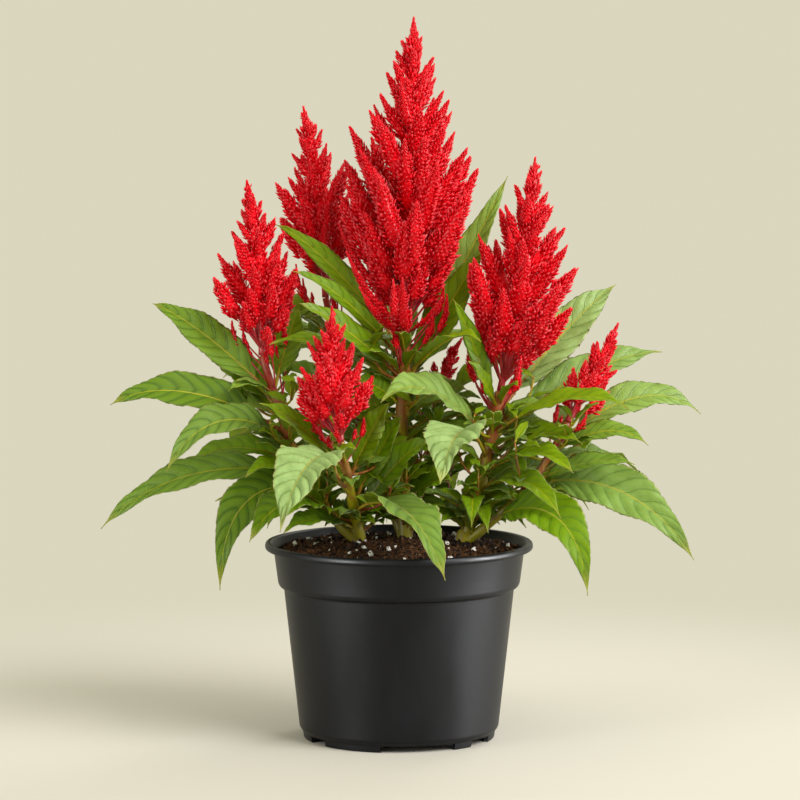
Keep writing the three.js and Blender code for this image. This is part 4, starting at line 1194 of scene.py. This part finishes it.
def side_shoots(lines):
    """Thin side shoots up along the shoots: for each its middle line, its small leaves and its redness."""
    found = []
    for number, (name, line) in enumerate(lines.items()):
        low, high = line[0][2] + 3 * MM, lerp(line[0][2], line[-1][2], 0.84)
        count = round((high - low) / SIDE_SHOOT_STEP)
        for i in range(count):
            key = 40 * number + i
            start = point_at(line, lerp(low, high, (i + 0.5) / count))
            turn = i * GOLDEN_ANGLE + number
            outward = np.array([math.cos(turn), math.sin(turn), 0])
            reach, rise = lerp(12, 24, draw(key, 61)) * MM, lerp(12, 30, draw(key, 62)) * MM
            bend = start + outward * reach
            end = bend + outward * reach * 0.2 + UP * rise
            route = bezier([start, bend, end], np.linspace(0, 1, SIDE_SHOOT_POINTS))
            leaves = []
            for k, at in enumerate(SIDE_SHOOT_LEAVES):
                around = turn + (k - 1.5) * 1.7 + draw(key, 63 + k)
                size = lerp(13, 25, draw(key, 67 + k))
                climb = lerp(0.1, 0.9, draw(key, 71 + k))
                tip = route[at] / MM + size * unit(np.array([math.cos(around), math.sin(around), climb]))
                leaves.append(Leaf(
                    name, route[at][2] / MM, tuple(tip), size * 0.42, size * 0.12,
                    lerp(5, 45, draw(key, 75 + k)), stalk=0.1, lime=0.8 * draw(key, 79 + k),
                ))
            found.append((route, leaves, draw(key, 83)))
    return found


class CELOSIA_OT_foliage(bpy.types.Operator):
    """Build the stems, the leafstalks and the veined leaves of the three plants"""
    bl_idname = "celosia.foliage"
    bl_label = "Foliage"

    def execute(self, context):
        settings = context.scene.celosia_leaf
        leaf_finish, stem_finish = leaf_material(settings), stem_material(settings)
        for plant, shoots in SHOOTS.items():
            blades, stems, uvs = Skin("vein_phase", "tone", "pale", "under"), Skin("flush"), []
            skins = blades, stems, uvs
            add_shaft(stems, *SHAFTS[plant])
            lines = {}
            for name, shoot in shoots.items():
                lines[name] = shoot_line(shoot.route, np.linspace(0, 1, 400))
                heights = [leaf.height for leaf in LEAVES[plant] if leaf.shoot == name]
                add_shoot(stems, shoot, heights, REDNESS[name])
            indexed = [*enumerate(LEAVES[plant]), *enumerate(small_leaves(LEAVES[plant], lines), FIRST_SMALL)]
            for index, leaf in indexed:
                add_leaf(skins, leaf, point_at(lines[leaf.shoot], leaf.height * MM), index, settings)
            index = FIRST_SIDE
            for route, leaves, flush in side_shoots(lines):
                add_tube(stems, route, lerp(1.0, 0.5, np.linspace(0, 1, len(route))) * MM, 5, flush=flush)
                for leaf, at in zip(leaves, SIDE_SHOOT_LEAVES):
                    add_leaf(skins, leaf, route[at], index, settings)
                    index += 1
            piece = blades.piece(f"leaves_{plant}", leaf_finish)
            add_uvs(piece.data, uvs)
            seat(piece, "foliage", f"plant_{plant}")
            seat(stems.piece(f"stems_{plant}", stem_finish), "foliage", f"plant_{plant}")
        return {"FINISHED"}


# ---------------------------------------------------------------- plumes

JOINT_GAP = 0.3 * MM  # between a shoot's end and its plume
# A plume's middle: its stalk's radius, its bare share, its girth as a share of the plume's width, and how
# crowded its florets stand. Its tip is a cone, as thick at most as a girth that grows with the height.
STALK_WIDTH, CORE_START, CORE_SHARE, CORE_CROWD = 2.2 * MM, 0.12, 0.22, 0.6
TIP_GIRTH, TIP_BY_HEIGHT, TIP_TAPER = 2.6 * MM, 0.01, 0.20
# Side spires: how far up the lowest and the highest end, and above 1, how they crowd toward the foot. They
# lean out from the middle by an angle, and swing out more at their root. The lowest reach less far out.
LOWEST_END, HIGHEST_END, CROWDING = 0.18, 0.97, 1.2
FIRST_ROOT, LEAN, SWING = 0.03, math.radians(32), 1.12
FOOT_WIDTH, FOOT_RISE = 0.45, 0.3  # their share of the width, and the height over which it widens
BARE_SHARE, SPIRE_STALK = 0.5, 0.9 * MM
LEAST_GIRTH, GIRTH_BY_REACH, GIRTH_BY_LENGTH = 1.8 * MM, 0.15, 0.052
FOOT_SPIRES = 0.6  # thin spires round the plume's foot, for each of its side spires
FOOT_TURN = 2.1  # radians from one of them to the next
FOOT_BARE, OWN_BARE = 0.6, 0.22  # bare share of a foot spire, and of one that stands apart
BODY_SHARE = 0.58  # the solid middle that florets stand out of, of a spire's girth
SLIMMER = 0.86  # girth of the spires between, of the others
BETWEEN_CROWDING = 0.85  # below 1, the spires between crowd toward the plume's tip
TOOTHLESS = 1.6 * MM  # the end of a spire, which the last teeth cover
SHARES = np.linspace(0, 1, 60)  # places along a spire's tuft at which its girth is given
ROOT_STEPS = 600  # steps along a spire in which its teeth are counted out


class Spire(NamedTuple):
    """One spire of a plume: its middle line, the share of it that is bare, its girth along the rest, its
    stalk's radius, and how crowded its florets stand low down."""
    line: np.ndarray
    bare: float
    girth: np.ndarray
    stalk: float
    crowd: float = 1.0


def spire_outline(s):
    """Girth at a share of a tuft's length, of its thickest."""
    return np.minimum(1, 0.5 + 3 * s) * (1 - s) ** 0.8


def core_outline(s, core, height):
    """Radius of a plume's middle: slim below, and a long cone at the tip."""
    body = core * 3.49 * s ** 0.7 * (1 - s) ** 1.2
    tip = np.minimum(TIP_TAPER * height * (1 - s), TIP_GIRTH + TIP_BY_HEIGHT * height)
    return np.maximum(body, tip * np.minimum(1, 0.35 + s))


def along_rows(rows, t):
    """The row of evenly placed rows at share t, between two of them."""
    at = np.clip(t, 0, 1) * (len(rows) - 1)
    low = min(int(at), len(rows) - 2)
    return lerp(rows[low], rows[low + 1], at - low)


def side_spire(axis, plume, up, turn, chance, slim=1.0):
    """The side spire whose tip lies the share up of the plume's way up, and that stands out toward turn."""
    height = np.linalg.norm(axis[-1] - axis[0])
    top = lerp(LOWEST_END, HIGHEST_END, up)
    reach = (plume.width * MM * min(1, (1 - top) / plume.shoulder)
             * min(1, lerp(FOOT_WIDTH, 1, (top - LOWEST_END) / FOOT_RISE)) * (0.78 + 0.3 * chance))
    root = max(FIRST_ROOT, top - reach / (math.tan(LEAN) * height))
    along = unit(along_rows(tangents(axis), (root + top) / 2))
    across, beside = cross_axes(along)
    outward = across * math.cos(turn) + beside * math.sin(turn)
    start = along_rows(axis, root)
    end = along_rows(axis, top) + outward * reach
    reach_length = np.linalg.norm(end - start)
    lean = SWING * math.atan2(reach, (top - root) * height)
    bend = start + (along * math.cos(lean) + outward * math.sin(lean)) * reach_length / 2
    line, _ = evened(bezier([start, bend, end], np.linspace(0, 1, 60)), 41)
    girth = slim * (LEAST_GIRTH + GIRTH_BY_REACH * reach + GIRTH_BY_LENGTH * reach_length)
    bare = BARE_SHARE * max(0.3, 1 - 2.2 * root)
    return Spire(line, bare, girth * spire_outline(SHARES), SPIRE_STALK * slim)


def foot_spire(shoot, axis, plume, up, turn, chance):
    """A thin spire at the plume's foot, on a long bare stalk that leaves the shoot lower down."""
    outward = np.array([math.cos(turn), math.sin(turn), 0])
    reach = plume.width * MM * lerp(0.3, 0.62, up) * lerp(0.75, 1.2, chance)
    start = shoot_line(shoot.route, [lerp(0.98, 0.74, chance)])[0]
    end = along_rows(axis, lerp(0.03, 0.2, up)) + outward * reach
    rise = (end - start) @ UP * UP
    line, _ = evened(bezier([start, start + 0.35 * rise + 0.45 * outward * reach, end - 0.45 * rise, end],
                            np.linspace(0, 1, 40)), 25)
    girth = (1.4 + 0.8 * chance) * MM + 0.07 * reach
    return Spire(line, FOOT_BARE, girth * spire_outline(SHARES), 0.6 * MM)


def plume_spires(shoot, plume, own, fillers):
    """The plume's middle, its side spires, which climb it in a spiral, slimmer ones between them, thin
    ones round its foot and its own ones that stand apart."""
    end = shoot_line(shoot.route, [1 - 1e-4, 1])
    foot = end[1] + unit(end[1] - end[0]) * JOINT_GAP
    tip = np.array(plume.tip, float) * MM
    middle = (foot + tip) / 2 + np.array([*plume.bow, 0.0]) * MM
    axis, _ = evened(bezier([foot, middle, tip], np.linspace(0, 1, 800)), 201)
    core = core_outline(SHARES, CORE_SHARE * plume.width * MM, np.linalg.norm(tip - foot))
    spires = [Spire(axis, CORE_START, core, STALK_WIDTH, CORE_CROWD)]
    for i in range(plume.spires):
        up = (i / (plume.spires - 1)) ** CROWDING
        spires.append(side_spire(axis, plume, up, i * GOLDEN_ANGLE + plume.spin, draw(i, plume.spin + 1)))
    between = round(plume.spires * fillers)
    for i in range(between):
        up = ((i + 0.5) / between) ** BETWEEN_CROWDING
        spires.append(side_spire(axis, plume, up, (i + 0.5) * GOLDEN_ANGLE + plume.spin + 1,
                                 draw(i, plume.spin + 2), SLIMMER))
    low = round(plume.spires * FOOT_SPIRES)
    for i in range(low):
        spires.append(foot_spire(shoot, axis, plume, i / (low - 1), i * FOOT_TURN + plume.spin,
                                 draw(i, plume.spin + 3)))
    for root, end, girth in own:
        start, end = along_rows(axis, root), np.array(end, float) * MM
        bend = start * [0.3, 0.3, 0.6] + end * [0.7, 0.7, 0.4]
        line, _ = evened(bezier([start, bend, end], np.linspace(0, 1, 30)), 31)
        spires.append(Spire(line, OWN_BARE, girth * MM * spire_outline(SHARES), SPIRE_STALK))
    return spires


def floret_roots(spire, gap, thick):
    """Places on a spire's middle line that set its teeth a gap apart all over it, and closer where it is
    not thick, with the girth, and how plainly each place lies inside the plume."""
    fine, reach = evened(spire.line, ROOT_STEPS)
    t = np.linspace(0, 1, ROOT_STEPS)
    on_tuft = (t - spire.bare) / (1 - spire.bare)
    girth = np.interp(on_tuft, SHARES, spire.girth)
    girth = lerp(spire.stalk, girth, smooth(on_tuft, -0.12, 0.02))
    step = reach / (ROOT_STEPS - 1)
    apart = gap * lerp(0.5, 1.0, np.clip(girth / thick, 0, 1))
    crowd = math.tau * (BODY_SHARE * girth + 0.6 * MM) * step / apart ** 2
    crowd = crowd * lerp(0.12, 1.0, smooth(on_tuft, -0.1, 0.05)) * (on_tuft > -0.5 * spire.bare)
    crowd = crowd * (t < 1 - TOOTHLESS / reach)
    inside = 1 - smooth(on_tuft, 0.35, 0.7)
    crowd = crowd * lerp(spire.crowd, 1.0, smooth(t, 0.55, 0.85))
    crowd = crowd * lerp(0.7, 1.0, smooth(on_tuft, 0.2, 0.5))
    count = np.cumsum(crowd)
    wanted = np.arange(0.5, count[-1])
    rows = [np.interp(wanted, count, column) for column in (*fine.T, girth, inside)]
    return np.stack(rows[:3], 1), rows[3], rows[4]


def floret_lines(spires, gap, thick):
    """A mesh of bare lines whose every vertex is to carry one floret. "inward" points to the plume's
    middle, and is short where the place isn't inside the plume."""
    axis = spires[0].line
    points, edges, girths, inward = [], [], [], []
    for number, spire in enumerate(spires):
        line, girth, inside = floret_roots(spire, gap, thick)
        edges += [(len(points) + k, len(points) + k + 1) for k in range(len(line) - 1)]
        near = axis[np.argmin(np.linalg.norm(line[:, None] - axis[None], axis=2), axis=1)]
        inward += (unit(near - line + 1e-9) * inside[:, None] * (number > 0)).tolist()
        points += line.tolist()
        girths += girth.tolist()
    mesh = bpy.data.meshes.new("floret lines")
    mesh.from_pydata(points, edges, [])
    mesh.attributes.new("girth", "FLOAT", "POINT").data.foreach_set("value", girths)
    layer = mesh.attributes.new("inward", "FLOAT_VECTOR", "POINT")
    layer.data.foreach_set("vector", np.array(inward, np.float32).ravel())
    return mesh


def tooth():
    """One unit long: a slim three-sided spike. "reach" runs from its foot to its tip."""
    points = [(0, 0, 0)]
    for radius, z, twist in ((0.17, 0.28, 0.0), (0.13, 0.68, 0.4)):
        points += [(radius * math.cos(a + twist), radius * math.sin(a + twist), z)
                   for a in (k * math.tau / 3 for k in range(3))]
    points.append((0, 0, 1))
    faces = [(0, 1 + (k + 1) % 3, 1 + k) for k in range(3)]
    faces += [(1 + k, 1 + (k + 1) % 3, 4 + (k + 1) % 3, 4 + k) for k in range(3)]
    faces += [(7, 4 + k, 4 + (k + 1) % 3) for k in range(3)]
    skin = Skin("reach")
    skin.add(points, faces, reach=[p[2] for p in points])
    return skin.piece("tooth", None)


def floret_tree():
    """Geometry nodes that set teeth in a spiral round each line, closer to it toward its tip."""
    tree, given = geometry_tree(
        "florets", "Florets", Lines="Geometry", Tooth="Object", Rooted="Float", Shortest="Float",
        Longest="Float", Hug="Float", Flare="Float", Thick="Float", Clump="Float", Seed="Int",
        Material="Material",
    )
    curve = node(tree, "GeometryNodeMeshToCurve", {0: given["Lines"]}).outputs[0]
    dotted = node(tree, "GeometryNodeCurveToPoints", {"Curve": curve}, mode="EVALUATED")
    along, side = dotted.outputs["Tangent"], dotted.outputs["Normal"]
    girth = named(tree, "girth")
    fullness = spread(tree, girth, 0.0, 1.0, 0.8 * MM, given["Thick"])

    index = node(tree, "GeometryNodeInputIndex").outputs[0]
    turn = maths(tree, "MULTIPLY", index, GOLDEN_ANGLE)
    outward = node(tree, "ShaderNodeVectorRotate", {"Vector": side, "Axis": along, "Angle": turn},
                   rotation_type="AXIS_ANGLE").outputs[0]
    # No tooth grows on the side of a spire that is buried in the plume.
    inward = named(tree, "inward", "FLOAT_VECTOR")
    buried = node(tree, "ShaderNodeVectorMath", {0: outward, 1: inward}, operation="DOT_PRODUCT")
    kept = node(tree, "FunctionNodeCompare", {0: buried.outputs["Value"], 1: 0.5}, data_type="FLOAT",
                operation="LESS_THAN").outputs[0]
    lean = spread(tree, fullness, given["Hug"], given["Flare"])
    lean = maths(tree, "ADD", lean, chanced(tree, -0.16, 0.16, 31))
    heading = node(tree, "ShaderNodeVectorMath",
                   {0: scaled(tree, along, maths(tree, "COSINE", lean)),
                    1: scaled(tree, outward, maths(tree, "SINE", lean))}, operation="ADD").outputs[0]
    upright = node(tree, "FunctionNodeAlignRotationToVector", {"Vector": heading}, axis="Z").outputs[0]
    rotation = node(tree, "FunctionNodeAlignRotationToVector", {"Rotation": upright, "Vector": outward},
                    axis="Y", pivot_axis="Z").outputs[0]

    clumps = node(tree, "ShaderNodeTexNoise", {"Scale": 190.0, "Detail": 1.0}).outputs[0]
    swell = maths(tree, "MULTIPLY", spread(tree, clumps, -1.0, 1.0, 0.3, 0.7), given["Clump"])
    size = spread(tree, fullness, given["Shortest"], given["Longest"])
    # About a third of the teeth stand well out of the others.
    proud = spread(tree, chanced(tree, 0.0, 1.0, 5), -0.12, 0.3, 0.5, 0.9)
    size = maths(tree, "MULTIPLY", size, maths(tree, "MULTIPLY_ADD", proud, fullness, 1.0))
    size = maths(tree, "MULTIPLY", size, maths(tree, "ADD", swell, 1.0))
    rooted = maths(tree, "MULTIPLY", girth, maths(tree, "MULTIPLY_ADD", swell, 0.2, given["Rooted"]))

    toned = node(tree, "GeometryNodeStoreNamedAttribute",
                 {"Geometry": dotted.outputs["Points"], "Name": "tone",
                  "Value": chanced(tree, 0.0, 1.0, given["Seed"])},
                 data_type="FLOAT", domain="POINT").outputs[0]
    pushed = node(tree, "GeometryNodeSetPosition",
                  {"Geometry": toned, "Offset": scaled(tree, outward, rooted)}).outputs[0]
    single = node(tree, "GeometryNodeObjectInfo", {"Object": given["Tooth"], "As Instance": True})
    stood = node(tree, "GeometryNodeInstanceOnPoints",
                 {"Points": pushed, "Selection": kept, "Instance": single.outputs["Geometry"],
                  "Rotation": rotation, "Scale": size})
    end_tree(tree, stood.outputs[0], given["Material"])
    return tree


def add_spire_body(skin, spire, rows, sides):
    """The bare stalk of a spire, and the solid middle that its florets stand out of."""
    line, _ = evened(spire.line, rows)
    t = np.linspace(0, 1, rows)
    on_tuft = np.clip((t - spire.bare) / (1 - spire.bare), 0, 1)
    girth = np.interp(on_tuft, SHARES, spire.girth)
    stalk = spire.stalk * (1 - 0.35 * t)
    radius = lerp(stalk, np.maximum(BODY_SHARE * girth, 0.25 * MM), smooth(on_tuft, 0.0, 0.15))
    # covered marks where the stalk is darkened as painted shade under the florets.
    add_tube(skin, line, radius, sides, covered=smooth(on_tuft, 0.0, 0.08))


class CELOSIA_OT_plumes(bpy.types.Operator):
    """Build the seven plumes: their stalks and their florets"""
    bl_idname = "celosia.plumes"
    bl_label = "Plumes"

    def execute(self, context):
        settings = context.scene.celosia_plume
        floret_finish, stalk_finish = floret_material(settings), stalk_material(settings)
        tree, single = floret_tree(), tooth()
        shoots = {name: shoot for group in SHOOTS.values() for name, shoot in group.items()}
        for number, (name, plume) in enumerate(PLUMES.items()):
            spires = plume_spires(shoots[name], plume, OWN_SPIRES.get(name, ()), settings.fillers)
            skin = Skin("covered")
            add_spire_body(skin, spires[0], 40, 12)
            for spire in spires[1:]:
                add_spire_body(skin, spire, 16, 6)
            seat(skin.piece(f"stalks_{name}", stalk_finish), "plume", f"plume_{name}")
            inputs = {"Tooth": single, "Rooted": BODY_SHARE, "Shortest": settings.shortest,
                      "Longest": settings.longest, "Hug": settings.hug, "Flare": settings.flare,
                      "Thick": settings.thick, "Clump": settings.clump, "Seed": settings.seed + number,
                      "Material": floret_finish}
            lines = floret_lines(spires, settings.gap, settings.thick)
            seat(grown(f"florets_{name}", lines, tree, inputs, True), "plume", f"plume_{name}")
        bpy.data.objects.remove(single)
        return {"FINISHED"}


# ---------------------------------------------------------------- stage

FLOOR_FADE = (0.2, 0.62)  # distances from the middle between which the floor turns plain
SKY_TINT = (1.0, 0.965, 0.75, 1.0)
PLANT_MIDDLE, POT_MIDDLE = (0, 0, 0.2), (0, 0, 0.06)
CAMERA_SIDE = 0.6 * MM  # the camera's place to the right of the axis


class CELOSIA_OT_camera(bpy.types.Operator):
    """Set up the camera in front of the plant"""
    bl_idname = "celosia.camera"
    bl_label = "Camera"

    def execute(self, context):
        settings = context.scene.celosia_stage
        data = bpy.data.cameras.new("camera")
        data.sensor_width, data.lens = 36.0, settings.lens
        data.clip_start, data.clip_end = 0.1, 50.0
        camera = place("camera", data)
        camera.location = (CAMERA_SIDE, -settings.distance, settings.height)
        camera.rotation_euler = (math.pi / 2 - settings.pitch, 0, 0)
        context.scene.camera = camera
        return {"FINISHED"}


def paper_material(settings):
    """Matt paper that turns into the plain background away from the middle."""
    made, tree, shader = material("paper", Roughness=0.9, IOR=1.3)
    coordinates = node(tree, "ShaderNodeTexCoord").outputs["Object"]
    away = node(tree, "ShaderNodeVectorMath", {0: coordinates}, operation="LENGTH").outputs["Value"]
    shader.inputs["Base Color"].default_value = (*settings.floor, 1.0)
    plain = node(tree, "ShaderNodeEmission", {"Color": (*settings.paper, 1.0)})
    blended(tree, shader, ranged(tree, away, *FLOOR_FADE), plain)
    return made


def studio_world(settings):
    """A plain surround that gives a soft light, and shows the paper's colour behind the object."""
    world = bpy.data.worlds.new("studio")
    world.use_nodes = True
    tree = world.node_tree
    light = tree.nodes["Background"]
    light.inputs["Color"].default_value = SKY_TINT
    light.inputs["Strength"].default_value = settings.sky
    shown = node(tree, "ShaderNodeBackground", {"Color": (*settings.paper, 1.0)})
    seen = node(tree, "ShaderNodeLightPath").outputs["Is Camera Ray"]
    blend = node(tree, "ShaderNodeMixShader", {0: seen, 1: light.outputs[0], 2: shown.outputs[0]})
    tree.links.new(blend.outputs[0], tree.nodes["World Output"].inputs["Surface"])
    return world


def area_light(name, power, size, at, target, tint=(1.0, 1.0, 1.0), gloss_only=False):
    """A round lamp that faces a target. One that is gloss_only adds reflections and no light."""
    data = bpy.data.lights.new(name, "AREA")
    data.shape, data.size, data.energy, data.color = "DISK", size, power, tint
    lamp = place(name, data)
    lamp.location = at
    lamp.visible_diffuse = lamp.visible_transmission = not gloss_only
    lamp.rotation_euler = (Vector(target) - Vector(at)).to_track_quat("-Z", "Y").to_euler()


class CELOSIA_OT_stage(bpy.types.Operator):
    """Lay the light-coloured floor and hang the soft lights"""
    bl_idname = "celosia.stage"
    bl_label = "Stage"

    def execute(self, context):
        settings = context.scene.celosia_stage
        made = bmesh.new()
        bmesh.ops.create_circle(made, cap_ends=True, segments=128, radius=12.0)
        floor = placed("floor", made)
        floor.data.materials.append(paper_material(settings))
        context.scene.world = studio_world(settings)
        area_light("key", settings.key, 4.0, (3.4, -2.95, 3.55), PLANT_MIDDLE, (0.985, 0.98, 1.0))
        area_light("fill", settings.fill, 1.0, (-1.7, -1.2, 0.9), PLANT_MIDDLE, (0.97, 0.98, 1.0))
        area_light("rim", settings.fill, 0.8, (0.9, 1.5, 1.5), PLANT_MIDDLE)
        area_light("right sheen", settings.sheen, 0.42, (0.985, -0.18, 0.2), POT_MIDDLE, gloss_only=True)
        area_light("left sheen", settings.sheen * 0.4, 0.28, (-0.8, -0.72, 0.12), POT_MIDDLE, gloss_only=True)
        context.scene.view_settings.view_transform = "Standard"
        return {"FINISHED"}


# ---------------------------------------------------------------- panel and registration

BUILD_ORDER = ("camera", "pot", "soil", "foliage", "plumes", "stage")


class CELOSIA_PT_panel(bpy.types.Panel):
    """Lists the settings and the building steps"""
    bl_idname = "CELOSIA_PT_panel"
    bl_label = "Plume Celosia"
    bl_space_type = "VIEW_3D"
    bl_region_type = "UI"
    bl_category = "Celosia"

    def draw(self, context):
        for step in BUILD_ORDER:
            self.layout.operator(f"celosia.{step}")
        for name, group in SETTINGS.items():
            box = self.layout.box()
            box.label(text=group.__doc__)
            for key in group.__annotations__:
                box.prop(getattr(context.scene, name), key)


CLASSES = (
    *SETTINGS.values(), CELOSIA_OT_camera, CELOSIA_OT_pot, CELOSIA_OT_soil, CELOSIA_OT_foliage,
    CELOSIA_OT_plumes, CELOSIA_OT_stage, CELOSIA_PT_panel,
)


def register():
    for cls in CLASSES:
        bpy.utils.register_class(cls)
    for name, group in SETTINGS.items():
        setattr(bpy.types.Scene, name, PointerProperty(type=group))


def unregister():
    for name in SETTINGS:
        delattr(bpy.types.Scene, name)
    for cls in reversed(CLASSES):
        bpy.utils.unregister_class(cls)


def main():
    register()
    for step in BUILD_ORDER:
        getattr(bpy.ops.celosia, step)()


if __name__ == "__main__":
    main()
